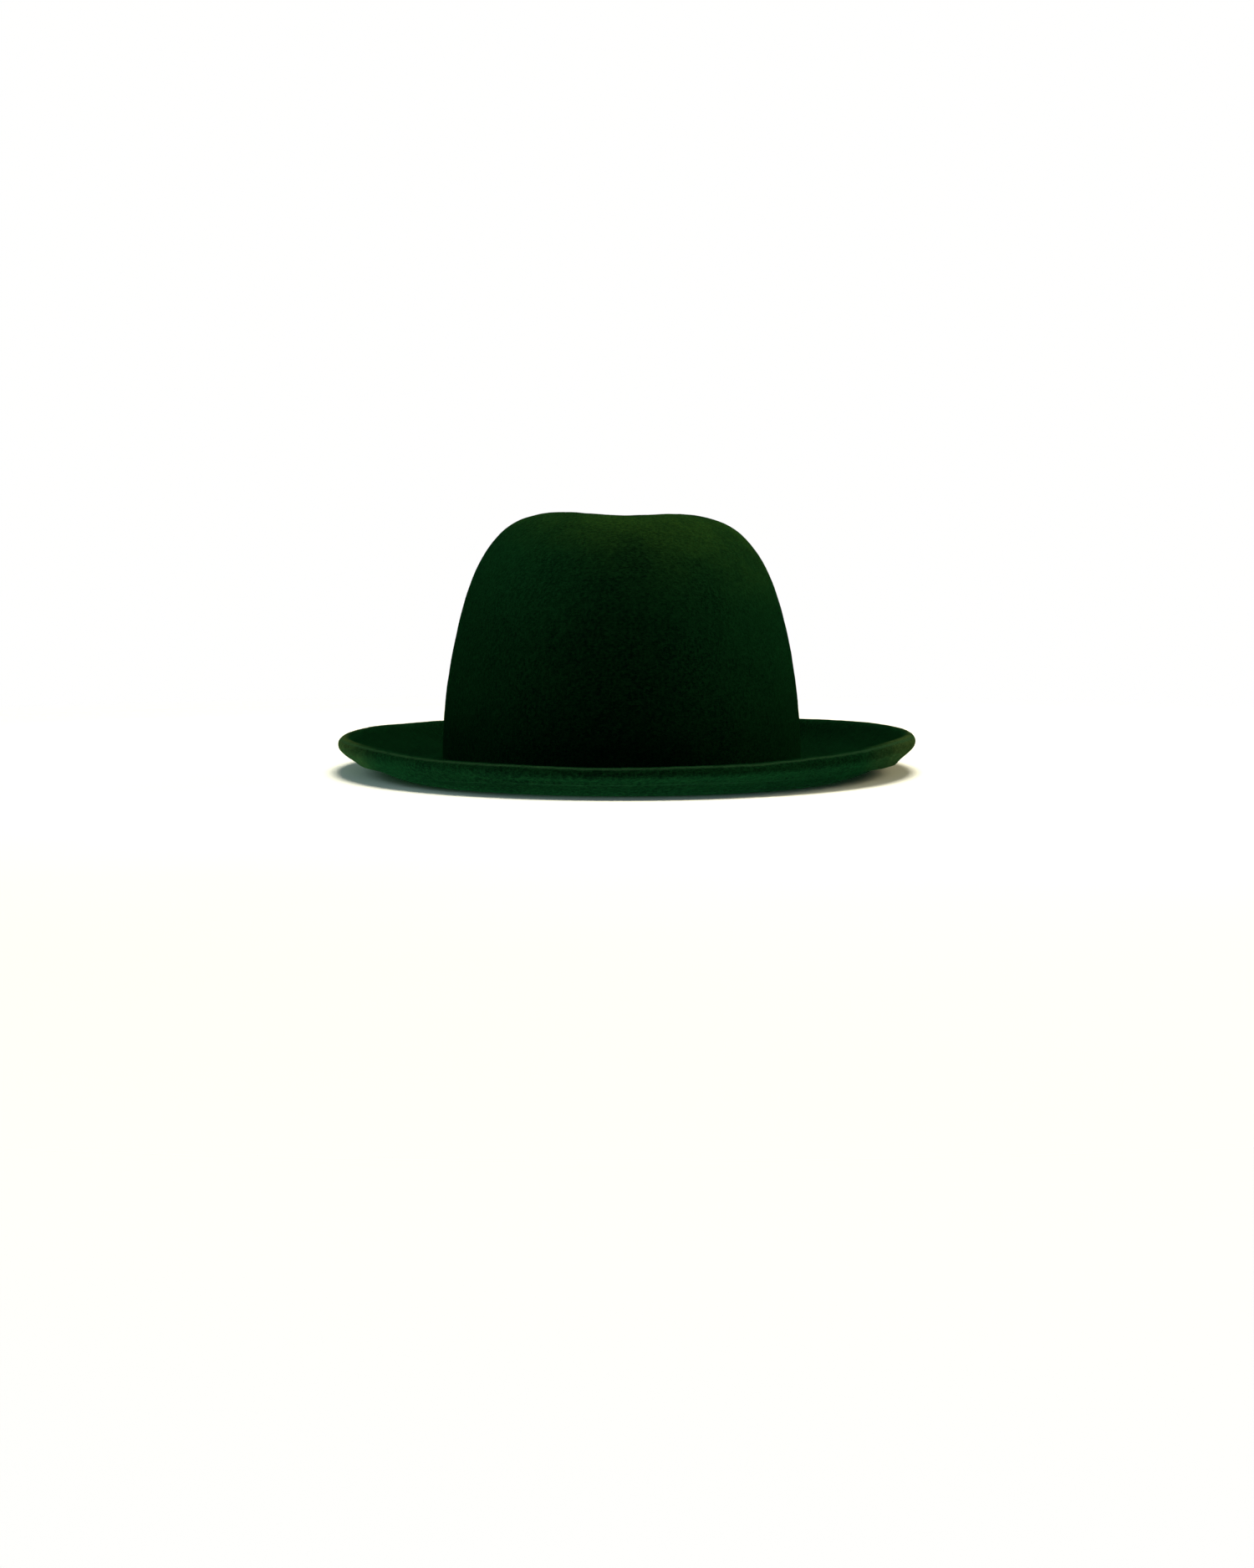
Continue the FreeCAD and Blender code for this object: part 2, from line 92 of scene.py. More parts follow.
def makeObject(name, points, faces, material, uvs=None):
    mesh = bpy.data.meshes.new(name)
    mesh.from_pydata([tuple(p) for p in points], [], faces)
    mesh.validate()
    if uvs is not None:
        layer = mesh.uv_layers.new(name="cut")  # metres along the cloth
        for loop in mesh.loops:
            layer.data[loop.index].uv = uvs[loop.vertex_index]
    mesh.polygons.foreach_set("use_smooth", [True] * len(mesh.polygons))
    mesh.materials.append(material)
    thing = bpy.data.objects.new(name, mesh)
    bpy.context.scene.collection.objects.link(thing)
    return thing


def wear(thing, slotName, *nodes):
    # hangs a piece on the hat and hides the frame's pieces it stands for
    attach(thing, body)
    if nodes:
        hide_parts(*nodes)


def ringFaces(rows, columns, start=0, closed=True):
    faces = []
    last = columns if closed else columns - 1
    for r in range(rows - 1):
        for c in range(last):
            d = (c + 1) % columns
            a = start + r * columns
            faces.append((a + c, a + d, a + columns + d, a + columns + c))
    return faces


def faceOutward(thing):
    work = bmesh.new()
    work.from_mesh(thing.data)
    bmesh.ops.recalc_face_normals(work, faces=work.faces)
    work.to_mesh(thing.data)
    work.free()


def gridNormals(grid, closed=True):
    # grid[row, column, xyz]; normals point out of the crown and up out of the brim
    across = np.gradient(grid, axis=0)
    if closed:
        along = np.roll(grid, -1, axis=1) - np.roll(grid, 1, axis=1)
    else:
        along = np.gradient(grid, axis=1)
    normal = np.cross(across, along)
    size = np.linalg.norm(normal, axis=2, keepdims=True)
    return normal / np.maximum(size, 1e-12)


def softNoise(point, size, seed=0.0):
    return noise.noise(Vector(point) / size + Vector((seed, 1.7 * seed, 0.3 * seed)))


def noiseOver(points, size, seed):
    # the noise at each point of a grid, in the grid's own shape
    found = [softNoise(p, size, seed) for p in points.reshape(-1, 3)]
    return np.array(found).reshape(points.shape[:-1])


def noiseRound(angles, height, size, seed):
    # the noise along an oval close to the headline
    oval = [(math.cos(x) * 0.09, math.sin(x) * 0.11, height) for x in angles]
    return noiseOver(np.array(oval), size, seed)


def noiseOnDisc(radius, turn, size, seed):
    spots = np.stack([radius * np.cos(turn), radius * np.sin(turn), 0 * radius], axis=-1)
    return noiseOver(spots, size, seed)


def lengthsAlong(points):
    steps = np.linalg.norm(np.diff(points, axis=0), axis=1)
    return np.concatenate([[0.0], np.cumsum(steps)])


# the crown's form

crownForm = {
    # share of the base's width, share of the rise: poles of the side's curve
    "poles": [(1.0, 0.0), (1.0, 0.2), (0.905, 0.625), (0.725, 0.9), (0.5, 1.0), (0.0, 1.0)],
    "dentDepth": 0.006,
    "dentHalfWidth": 0.021,
    "dentHalfLength": 0.052,
    "lean": 0.016,  # how far the top falls for each metre to the right
    "ripple": 0.00035,
    "rippleSize": 0.045,
}


def outlineAt(places):
    # a clamped cubic with three spans: shares of the width and of the rise
    knots = [0, 0, 0, 0, 1, 2, 3, 3, 3, 3]
    t = np.clip(3 * np.asarray(places, float), 0, 3 - 1e-9)
    weights = [np.where((knots[i] <= t) & (t < knots[i + 1]), 1.0, 0.0) for i in range(9)]
    for degree in (1, 2, 3):
        for i in range(9 - degree):
            left = knots[i + degree] - knots[i]
            right = knots[i + degree + 1] - knots[i + 1]
            value = np.zeros_like(t)
            if left:
                value = value + (t - knots[i]) / left * weights[i]
            if right:
                value = value + (knots[i + degree + 1] - t) / right * weights[i + 1]
            weights[i] = value
    poles = crownForm["poles"]
    share = sum(w * p[0] for w, p in zip(weights, poles))
    rise = sum(w * p[1] for w, p in zip(weights, poles))
    return share, rise


placeTable = np.linspace(0, 1, 4001)
riseTable = outlineAt(placeTable)[1]


def placeAt(heights):
    # where on the side's curve a height above the break lies; negative below the break
    share = np.asarray(heights, float) / crownRise
    return np.where(share > 0, np.interp(share, riseTable, placeTable), share)


def crownMiddle(angles, places, dented):
    share, rise = outlineAt(places)
    x = midWide * share * np.cos(angles)
    y = midLong * share * np.sin(angles)
    z = breakTop + crownRise * np.where(places > 0, rise, places)
    z = z - crownForm["lean"] * x * rise**4
    if dented:
        across, along = x / crownForm["dentHalfWidth"], y / crownForm["dentHalfLength"]
        z = z - crownForm["dentDepth"] * np.exp(-(across**2) - along**2) * rise
    return np.stack([x, y, z], axis=-1)


def crownAt(angles, places, inward, dented=False):
    # points of the crown moved in along its normal; the whole wall ripples together
    step = 1e-3
    here = crownMiddle(angles, places, dented)
    around = crownMiddle(angles + step, places, dented) - crownMiddle(angles - step, places, dented)
    up = here - crownMiddle(angles, places - step, dented)
    normal = np.cross(around, up)
    size = np.linalg.norm(normal, axis=-1, keepdims=True)
    normal = np.where(size > 1e-13, normal / np.maximum(size, 1e-13), (0.0, 0.0, 1.0))
    waves = noiseOver(here, crownForm["rippleSize"], 3) * crownForm["ripple"] * np.clip(6 * places, 0, 1)
    return here + normal * (waves - inward)[..., None]


def wallGrid(angles, heights, depth):
    # inside the crown: heights above the break, depth in from the felt; rows by columns
    a, h = np.meshgrid(angles, heights)
    return crownAt(a, placeAt(h), wall["felt"] / 2 + np.broadcast_to(depth, a.shape))


def roundTrip(depth, place=0.0):
    # the ring from the back round to the back again: its length, and the angle at each length
    fine = back + np.linspace(0, 2 * math.pi, 2881)
    ring = crownAt(fine, np.full_like(fine, place), wall["felt"] / 2 + np.full_like(fine, depth))
    lengths = lengthsAlong(ring)
    return lengths[-1], lambda at: np.interp(at, lengths, fine)


# thin solids


def edged(low, high, steps, radius):
    # even steps, closer together where an edge is rounded off
    ends = [radius * (1 - math.cos(math.radians(a))) for a in (0, 30, 60)]
    inner = list(np.linspace(low + radius, high - radius, steps))
    return np.array([low + e for e in ends] + inner + [high - e for e in reversed(ends)])


def rounded(lengths, thickness):
    # half thickness along a strip whose two edges are rounded off
    near = np.minimum(lengths - lengths[0], lengths[-1] - lengths)
    part = np.clip(near / (thickness / 2), 0, 1)
    return thickness / 2 * np.maximum(np.sqrt(1 - (1 - part) ** 2), 0.15)


def thinSolid(name, middles, half, material, closed=False, front=0.0, behind=0.0):
    # both faces of a sheet and its edges; front and behind raise either face
    rows, columns = middles.shape[:2]
    count = rows * columns
    normals = gridNormals(middles, closed)
    half = np.broadcast_to(half, (rows, columns))
    ahead = middles + normals * (half + front)[..., None]
    behindFace = middles - normals * (half + behind)[..., None]
    points = np.concatenate([ahead.reshape(-1, 3), behindFace.reshape(-1, 3)])
    faces = ringFaces(rows, columns, 0, closed)
    faces += [f[::-1] for f in ringFaces(rows, columns, count, closed)]
    for r in (0, rows - 1):
        for c in range(columns if closed else columns - 1):
            a, b = r * columns + c, r * columns + (c + 1) % columns
            faces.append((a, b, b + count, a + count))
    if not closed:
        for c in (0, columns - 1):
            for r in range(rows - 1):
                a, b = r * columns + c, (r + 1) * columns + c
                faces.append((a, b, b + count, a + count))
    along = lengthsAlong(middles[rows // 2])
    up = lengthsAlong(middles[:, columns // 2])
    uvs = [(along[c], up[r]) for r in range(rows) for c in range(columns)] * 2
    thing = makeObject(name, points, faces, material, uvs)
    faceOutward(thing)
    return thing


def capGrid(side):
    # a square net pressed round with its rim evenly spaced: radius and angle of each point
    a, b = np.meshgrid(np.linspace(-1, 1, side + 1), np.linspace(-1, 1, side + 1))
    wide = np.abs(a) >= np.abs(b)
    safeA = np.where(a == 0, 1e-12, a)
    safeB = np.where(b == 0, 1e-12, b)
    radius = np.where(wide, a, b)
    angle = np.where(wide, math.pi / 4 * b / safeA, math.pi / 2 - math.pi / 4 * a / safeB)
    angle = np.where(radius < 0, angle + math.pi, angle)
    return np.abs(radius), angle


threads = {
    # radius, length of a full twist of the two plies
    "band": (0.0002, 0.0016),
    "blind": (0.00025, 0.0012),
    "lining": (0.00018, 0.0013),
}


def threadMesh(name, paths, kind, material):
    # two plies laid round each other
    radius, lay = threads[kind]
    sides = 8
    points, faces, uvs = [], [], []
    for path in paths:
        path = np.asarray(path)
        tangent = np.gradient(path, axis=0)
        tangent /= np.linalg.norm(tangent, axis=1, keepdims=True)
        outward = path * (1, 1, 0)
        across = np.cross(tangent, outward)
        across /= np.maximum(np.linalg.norm(across, axis=1, keepdims=True), 1e-9)
        upward = np.cross(across, tangent)
        lengths = lengthsAlong(path)
        start = len(points)
        for i, centre in enumerate(path):
            end = 0.35 if i in (0, len(path) - 1) else 1.0
            for k in range(sides):
                turn = 2 * math.pi * k / sides
                ply = abs(math.cos(turn - 2 * math.pi * lengths[i] / lay))
                reach = radius * end * (0.64 + 0.36 * ply)
                points.append(centre + reach * (math.cos(turn) * across[i] + math.sin(turn) * upward[i]))
                uvs.append((lengths[i], radius * turn))
        for i in range(len(path) - 1):
            for k in range(sides):
                a, b = start + i * sides + k, start + i * sides + (k + 1) % sides
                faces.append((a, b, b + sides, a + sides))
        faces.append(tuple(start + k for k in reversed(range(sides))))
        faces.append(tuple(start + (len(path) - 1) * sides + k for k in range(sides)))
    thing = makeObject(name, points, faces, material, uvs)
    faceOutward(thing)
    return thing


# the brim's form

brimForm = {
    "breakRadius": 0.00225,  # of the middle of the felt
    "fall": 0.00109,
    "reach": 0.0464,
    "shift": (-0.0008, 0.0014),  # all round, and times the cosine: in at the left, out at the right
    "open": (0.1, 3.0),  # the right is more open: share of the radius, degrees
    # at the sides, at the front and back
    "curlRadius": (0.032, 0.01225),
    "curlTurn": (54.0, 67.5),
    "straight": (0.0012, 0.0047),
    "welt": (0.0095, 0.005),  # how far the fold comes back down
    "foldGap": (0.0022, 0.0018),  # across the wire in the fold
    "weltSlit": 0.00025,
    "sway": 0.001,
    "swayOut": 0.045,  # the sway grows out to here
    "swayFrom": (0.003, 0.01),  # and over this height, from and by
    "ripple": 0.0005,
    "rippleSize": 0.05,
    "rippleOut": 0.03,
    "rippleFrom": (0.003, 0.006),
    "loose": (0.0007, 0.0003),  # the slit opens near the right, and a little all round
    "looseAt": (0.42, 0.35),  # radians: where and how wide
    "frontDrop": 0.002,
    "stitches": 97,
    "stitchIn": 0.0015,  # from the welt's edge
    "stitchBite": 0.0008,  # into each side of the felt
}


def blend(values, angles):
    side, front = values
    share = np.cos(angles) ** 4
    return side * share + front * (1 - share)


def brimMiddle(angles):
    # rows of (distance out, height, heading) from the break to the crest
    f = brimForm
    radius, straight = blend(f["curlRadius"], angles), blend(f["straight"], angles)
    right = np.clip(np.cos(angles), 0, 1)
    radius = radius * (1 + f["open"][0] * right)
    turn = np.radians(blend(f["curlTurn"], angles) - f["open"][1] * right)
    low = breakTop - f["breakRadius"] - f["fall"]
    grow = f["curlRadius"][0] * f["open"][0] * 0.7 * right**5
    reach = f["reach"] + f["shift"][0] + f["shift"][1] * np.cos(angles) + grow
    lowest = reach - radius * np.sin(turn) - straight * np.cos(turn)
    across, up = lowest - f["breakRadius"], low + radius - breakTop
    span = np.hypot(across, up)
    dip = np.arctan2(up, across) - np.arcsin((radius - f["breakRadius"]) / span)
    rows = [(0 * angles, 0 * angles + breakTop, 0 * angles - back)]

    def arc(size, sweep, steps):
        out, high, start = rows[-1]
        for i in range(1, steps + 1):
            now = start + sweep * i / steps
            aside = out + size * (np.sin(now) - np.sin(start))
            rows.append((aside, high - size * (np.cos(now) - np.cos(start)), now))

    def run(length, steps):
        out, high, heading = rows[-1]
        for i in range(1, steps + 1):
            part = length * i / steps
            rows.append((out + part * np.cos(heading), high + part * np.sin(heading), heading))

    arc(f["breakRadius"], back + dip, 7)
    run(np.sqrt(span**2 - (radius - f["breakRadius"]) ** 2), 14)
    arc(radius, turn - dip, 16)
    run(straight, 3)
    return rows


def placeOnBrim(angles, out, high):
    x = midWide * np.cos(angles)
    y = midLong * np.sin(angles)
    nx = midLong * np.cos(angles)
    ny = midWide * np.sin(angles)
    size = np.hypot(nx, ny)
    return np.stack([x + nx / size * out, y + ny / size * out, high], axis=1)


def growing(values, start, span):
    # 0 up to the start, 1 from the end of the span
    return np.clip((values - start) / span, 0, 1)


def brimSway(angles, out, high):
    # the crest is never quite level: highest at the right and the back
    f = brimForm
    reach = growing(out, 0, f["swayOut"]) ** 2 * growing(high, *f["swayFrom"])
    lift = np.cos(angles - 0.6) + 0.25 * np.cos(3 * angles + 1)
    drop = f["frontDrop"] * np.clip(-np.sin(angles), 0, 1) ** 2
    return high + (f["sway"] * lift - drop) * reach


def swayed(angles, out, high):
    f = brimForm
    points = placeOnBrim(angles, out, brimSway(angles, out, high))
    lift = noiseOver(points, f["rippleSize"], 9) * f["ripple"]
    points[:, 2] += lift * growing(out, 0, f["rippleOut"]) * growing(points[:, 2], *f["rippleFrom"])
    return points


def rollBack(angles, share):
    # down the fold beside the curl, longer and looser in places: out, height, heading, slit
    f = brimForm
    out, high, heading = brimMiddle(angles)[-1]
    radius, run = blend(f["curlRadius"], angles), blend(f["straight"], angles)
    uneven = 0.04 * np.sin(2 * angles + 0.6) + 0.05 * np.sin(5 * angles) + 0.03 * np.sin(11 * angles)
    distance = blend(f["welt"], angles) * (1 + uneven) * share
    straight = np.minimum(distance, run)
    now = heading - np.maximum(distance - run, 0) / radius
    out = out - straight * np.cos(heading) - radius * (np.sin(heading) - np.sin(now))
    high = high - straight * np.sin(heading) + radius * (np.cos(heading) - np.cos(now))
    fromRight = (angles + f["looseAt"][0] + math.pi) % (2 * math.pi) - math.pi
    near, allRound = f["loose"]
    loose = near * np.exp(-((fromRight / f["looseAt"][1]) ** 2)) + allRound * (1 + np.sin(3 * angles + 2))
    closing = (1 + math.cos(math.pi * share)) / 2
    slit = f["weltSlit"] + (blend(f["foldGap"], angles) - f["weltSlit"]) * closing
    return out, high, now, slit + loose * share**2


def weltAt(angles, share, right):
    out, high, now, slit = rollBack(angles, share)
    right = right + slit
    return out + right * np.sin(now), high - right * np.cos(now)


def foldLine(angles):
    # where the wire runs, in the middle of the fold
    out, high, heading = brimMiddle(angles)[-1]
    right = wall["felt"] / 2 + blend(brimForm["foldGap"], angles) / 2
    return swayed(angles, out + right * np.sin(heading), high - right * np.cos(heading))


# node groups


def nodeGroup(name, inputs, outputs):
    # an input without a number is a vector; every output is a mask or a height
    made = bpy.data.node_groups.new(name, "ShaderNodeTree")
    for label, value in inputs.items():
        kind = "NodeSocketVector" if value is None else "NodeSocketFloat"
        socket = made.interface.new_socket(name=label, in_out="INPUT", socket_type=kind)
        if value is not None:
            socket.default_value = value
    for label in outputs:
        made.interface.new_socket(name=label, in_out="OUTPUT", socket_type="NodeSocketFloat")
    return made, made.nodes.new("NodeGroupInput").outputs, made.nodes.new("NodeGroupOutput").inputs


def giveOut(tree, end, **sockets):
    for label, socket in sockets.items():
        tree.links.new(socket, end[label])


def addNode(tree, kind, **settings):
    node = tree.nodes.new(kind)
    for key, value in settings.items():
        setattr(node, key, value)
    return node


def setOrLink(tree, socket, value):
    if isinstance(value, (int, float, tuple)):
        socket.default_value = value
    else:
        tree.links.new(value, socket)


def mathNode(tree, operation, *values):
    node = addNode(tree, "ShaderNodeMath", operation=operation)
    for socket, value in zip(node.inputs, values):
        setOrLink(tree, socket, value)
    return node.outputs[0]


def times(tree, a, b):
    return mathNode(tree, "MULTIPLY", a, b)


def plus(tree, a, b):
    return mathNode(tree, "ADD", a, b)


def apart(tree, value, place):
    # how far a value is from a place, either way
    return mathNode(tree, "ABSOLUTE", mathNode(tree, "SUBTRACT", value, place))


def noiseNode(tree, vector, scale, detail, roughness):
    node = addNode(tree, "ShaderNodeTexNoise")
    node.inputs["Detail"].default_value = detail
    node.inputs["Roughness"].default_value = roughness
    setOrLink(tree, node.inputs["Scale"], scale)
    tree.links.new(vector, node.inputs["Vector"])
    return node.outputs["Fac"]


def rampNode(tree, value, low, high):
    node = addNode(tree, "ShaderNodeMapRange", interpolation_type="SMOOTHSTEP")
    tree.links.new(value, node.inputs["Value"])
    node.inputs["From Min"].default_value = low
    node.inputs["From Max"].default_value = high
    return node.outputs["Result"]


def stretched(tree, vector, amounts):
    node = addNode(tree, "ShaderNodeVectorMath", operation="MULTIPLY")
    tree.links.new(vector, node.inputs[0])
    node.inputs[1].default_value = amounts
    return node.outputs[0]


def partsOf(tree, vector):
    node = addNode(tree, "ShaderNodeSeparateXYZ")
    tree.links.new(vector, node.inputs[0])
    return node.outputs


def makeNapGroup():
    # short brushed fibres: fine speckle, level streaks and slow clouds
    tree, start, end = nodeGroup(
        "napSpeckle",
        {"Point": None, "Speckle Scale": 620.0, "Cloud Scale": 38.0, "Streak": 0.5},
        ("Mask", "Cloud", "Height"),
    )
    speckle = noiseNode(tree, start["Point"], start["Speckle Scale"], 5, 0.78)
    cloud = noiseNode(tree, start["Point"], start["Cloud Scale"], 4, 0.6)
    streak = noiseNode(tree, stretched(tree, start["Point"], (0.22, 0.22, 1.0)), 2600.0, 3, 0.6)
    both = plus(tree, speckle, times(tree, streak, start["Streak"]))
    mask = rampNode(tree, both, 0.6, 0.95)
    giveOut(tree, end, Mask=mask, Cloud=rampNode(tree, cloud, 0.38, 0.62), Height=both)
    return tree


def makeWeaveGroup():
    # over and under threads in two directions, in metres of cloth
    tree, start, end = nodeGroup(
        "threadWeave",
        {"Cut": None, "Warp Pitch": 0.0004, "Weft Pitch": 0.0004, "Weft Share": 0.5, "Slub": 0.3},
        ("Height", "Mask"),
    )
    split = partsOf(tree, start["Cut"])
    threads = []
    for axis, pitch in (("X", "Warp Pitch"), ("Y", "Weft Pitch")):
        turns = mathNode(tree, "DIVIDE", split[axis], start[pitch])
        threads.append(mathNode(tree, "ABSOLUTE", mathNode(tree, "SINE", times(tree, turns, 2 * math.pi))))
    warp, weft = threads
    mixed = addNode(tree, "ShaderNodeMix")
    tree.links.new(start["Weft Share"], mixed.inputs["Factor"])
    tree.links.new(warp, mixed.inputs["A"])
    tree.links.new(weft, mixed.inputs["B"])
    uneven = times(tree, noiseNode(tree, start["Cut"], 700.0, 2, 0.5), start["Slub"])
    giveOut(tree, end, Height=plus(tree, mixed.outputs["Result"], uneven), Mask=times(tree, warp, weft))
    return tree


def makeGrainGroup():
    # leather: pebbled cells, pores and long soft creases
    tree, start, end = nodeGroup(
        "hideGrain",
        {"Cut": None, "Cell Scale": 1100.0, "Crease Scale": 60.0},
        ("Height", "Pores", "Patina"),
    )
    warp = addNode(tree, "ShaderNodeTexNoise")
    warp.inputs["Scale"].default_value = 400.0
    tree.links.new(start["Cut"], warp.inputs["Vector"])
    nudge = addNode(tree, "ShaderNodeVectorMath", operation="MULTIPLY_ADD")
    tree.links.new(warp.outputs["Color"], nudge.inputs[0])
    nudge.inputs[1].default_value = (0.0006, 0.0006, 0.0)
    tree.links.new(start["Cut"], nudge.inputs[2])
    cells = addNode(tree, "ShaderNodeTexVoronoi", feature="SMOOTH_F1")
    tree.links.new(nudge.outputs[0], cells.inputs["Vector"])
    tree.links.new(start["Cell Scale"], cells.inputs["Scale"])
    crease = noiseNode(tree, stretched(tree, start["Cut"], (1.0, 3.5, 1.0)), start["Crease Scale"], 5, 0.6)
    pores = rampNode(tree, cells.outputs["Distance"], 0.35, 0.75)
    height = mathNode(tree, "SUBTRACT", times(tree, crease, 1.4), pores)
    patina = rampNode(tree, noiseNode(tree, start["Cut"], 35.0, 4, 0.6), 0.3, 0.7)
    giveOut(tree, end, Height=height, Pores=pores, Patina=patina)
    return tree


def makeWearGroup():
    # where edges rub bright, in patches
    tree, start, end = nodeGroup("edgeWear", {"Point": None, "Amount": 0.5}, ("Worn",))
    shape = addNode(tree, "ShaderNodeNewGeometry")
    patchy = noiseNode(tree, start["Point"], 90.0, 4, 0.6)
    ridge = rampNode(tree, shape.outputs["Pointiness"], 0.53, 0.62)
    giveOut(tree, end, Worn=times(tree, times(tree, ridge, patchy), start["Amount"]))
    return tree


def makeLineGroup():
    # a soft, slightly wandering line along the cloth at a stated place across it
    tree, start, end = nodeGroup(
        "softLine", {"Cut": None, "Point": None, "Place": 0.0, "Half Width": 0.001}, ("Mask",)
    )
    wander = times(tree, noiseNode(tree, start["Point"], 160.0, 3, 0.6), 0.0012)
    across = plus(tree, partsOf(tree, start["Cut"])["Y"], mathNode(tree, "SUBTRACT", wander, 0.0006))
    share = mathNode(tree, "DIVIDE", apart(tree, across, start["Place"]), start["Half Width"])
    patchy = rampNode(tree, noiseNode(tree, start["Point"], 220.0, 4, 0.7), 0.15, 0.5)
    giveOut(tree, end, Mask=times(tree, rampNode(tree, share, 1.0, 0.25), patchy))
    return tree


def makePaintedLightGroup():
    # painted light and wear: painted top light from the upper right with some fading where the crown faces
    # up, painted side light with some rubbing at the sides of the fold, painted shade in the brim's trough
    tree, start, end = nodeGroup(
        "paintedLightFadeAndRub", {"Point": None, "Cut": None, "Cloud": 0.5}, ("Faded", "Rubbed", "Trough")
    )
    shape = addNode(tree, "ShaderNodeNewGeometry")
    facing = partsOf(tree, shape.outputs["Normal"])
    where = partsOf(tree, start["Point"])
    across = partsOf(tree, start["Cut"])["Y"]  # metres from the welt's edge, negative up the cloth
    uneven = plus(tree, times(tree, start["Cloud"], 0.5), 0.5)
    # painted top light: strongest where the crown faces up and a little to the right, towards the lamps,
    # with some fading
    upward = rampNode(tree, plus(tree, facing["Z"], times(tree, facing["X"], 0.35)), 0.25, 1.05)
    topLightAndFade = times(tree, upward, rampNode(tree, where["Z"], 0.06, 0.11))
    # painted side light with some rubbing on the fold at the left and right
    sides = rampNode(tree, mathNode(tree, "ABSOLUTE", where["X"]), 0.1, 0.131)
    sideLightAndRub = times(tree, sides, rampNode(tree, apart(tree, across, -0.0085), 0.0105, 0.007))
    # painted shade in the brim's trough
    trough = rampNode(tree, apart(tree, across, -0.044), 0.028, 0.018)
    giveOut(tree, end, Faded=times(tree, topLightAndFade, uneven), Rubbed=times(tree, sideLightAndRub, uneven), Trough=trough)
    return tree


napGroup = makeNapGroup()
lineGroup = makeLineGroup()
paintedLightGroup = makePaintedLightGroup()
weaveGroup = makeWeaveGroup()
grainGroup = makeGrainGroup()
wearGroup = makeWearGroup()


class Finish:
    # one material, its shader and its coordinates
    def __init__(self, name):
        self.material = bpy.data.materials.new(name)
        self.material.use_nodes = True
        self.tree = self.material.node_tree
        self.shader = self.tree.nodes["Principled BSDF"]
        self.point = addNode(self.tree, "ShaderNodeTexCoord").outputs["Object"]
        self.cut = addNode(self.tree, "ShaderNodeUVMap", uv_map="cut").outputs["UV"]

    def plain(self, **values):
        for key, value in values.items():
            self.shader.inputs[key.replace("_", " ")].default_value = value

    def use(self, group, links, **values):
        node = addNode(self.tree, "ShaderNodeGroup", node_tree=group)
        for key, socket in links.items():
            self.tree.links.new(socket, node.inputs[key])
        for key, value in values.items():
            node.inputs[key.replace("_", " ")].default_value = value
        return node.outputs

    def nap(self, speckle, cloud):
        return self.use(napGroup, {"Point": self.point}, Speckle_Scale=speckle, Cloud_Scale=cloud)

    def mix(self, factor, first, second):
        node = addNode(self.tree, "ShaderNodeMix", data_type="RGBA")
        self.tree.links.new(factor, node.inputs[0])
        for socket, value in ((node.inputs[6], first), (node.inputs[7], second)):
            setOrLink(self.tree, socket, (*value, 1.0) if isinstance(value, tuple) else value)
        return node.outputs[2]

    def over(self, shade, colour, mask, amount):
        # a colour laid over a shade where the mask lets it, by an amount
        return self.mix(times(self.tree, mask, amount), shade, colour)

    def colour(self, socket):
        self.tree.links.new(socket, self.shader.inputs["Base Color"])

    def rough(self, mask, low, high):
        node = addNode(self.tree, "ShaderNodeMapRange")
        self.tree.links.new(mask, node.inputs["Value"])
        node.inputs["To Min"].default_value = low
        node.inputs["To Max"].default_value = high
        self.tree.links.new(node.outputs["Result"], self.shader.inputs["Roughness"])

    def bump(self, height, distance, strength):
        node = addNode(self.tree, "ShaderNodeBump")
        node.inputs["Distance"].default_value = distance
        node.inputs["Strength"].default_value = strength
        self.tree.links.new(height, node.inputs["Height"])
        self.tree.links.new(node.outputs["Normal"], self.shader.inputs["Normal"])


# finishes

feltLook = {
    "deep": (0.0001, 0.0020, 0.0012),
    "lit": (0.0005, 0.0062, 0.0019),
    "tip": (0.004, 0.026, 0.0075),
    "tipShare": 0.8,
    "worn": (0.012, 0.036, 0.014),
    "wear": 0.8,
    # painted top light from the upper right, with some fading
    "topLightAndFade": (0.016, 0.042, 0.006),
    # painted side light, with some rubbing, on the side rims
    "sideLightAndRub": (0.055, 0.085, 0.026),
    "grainLeast": 0.4,  # how much the painted top and side light, with the fading and rubbing, reach between the fibres' tips
    # painted shade in the brim's trough
    "troughShadeShare": 0.55,
    # painted highlight along the crest of the roll
    "crest": (0.02, 0.055, 0.024),
    "crestHighlightShare": 0.6,
    "crestLine": -0.0143,  # metres across the cloth from the welt's edge
    "crestHighlightHalf": 0.0011,
    "edge": (0.022, 0.064, 0.033),
    "edgeShare": 0.9,
    "edgeHalf": 0.0013,
    "sheen": 0.055,
    "sheenRoughness": 0.3,
    "sheenTint": (0.09, 1.0, 0.27, 1.0),
    "bump": 0.002,
}


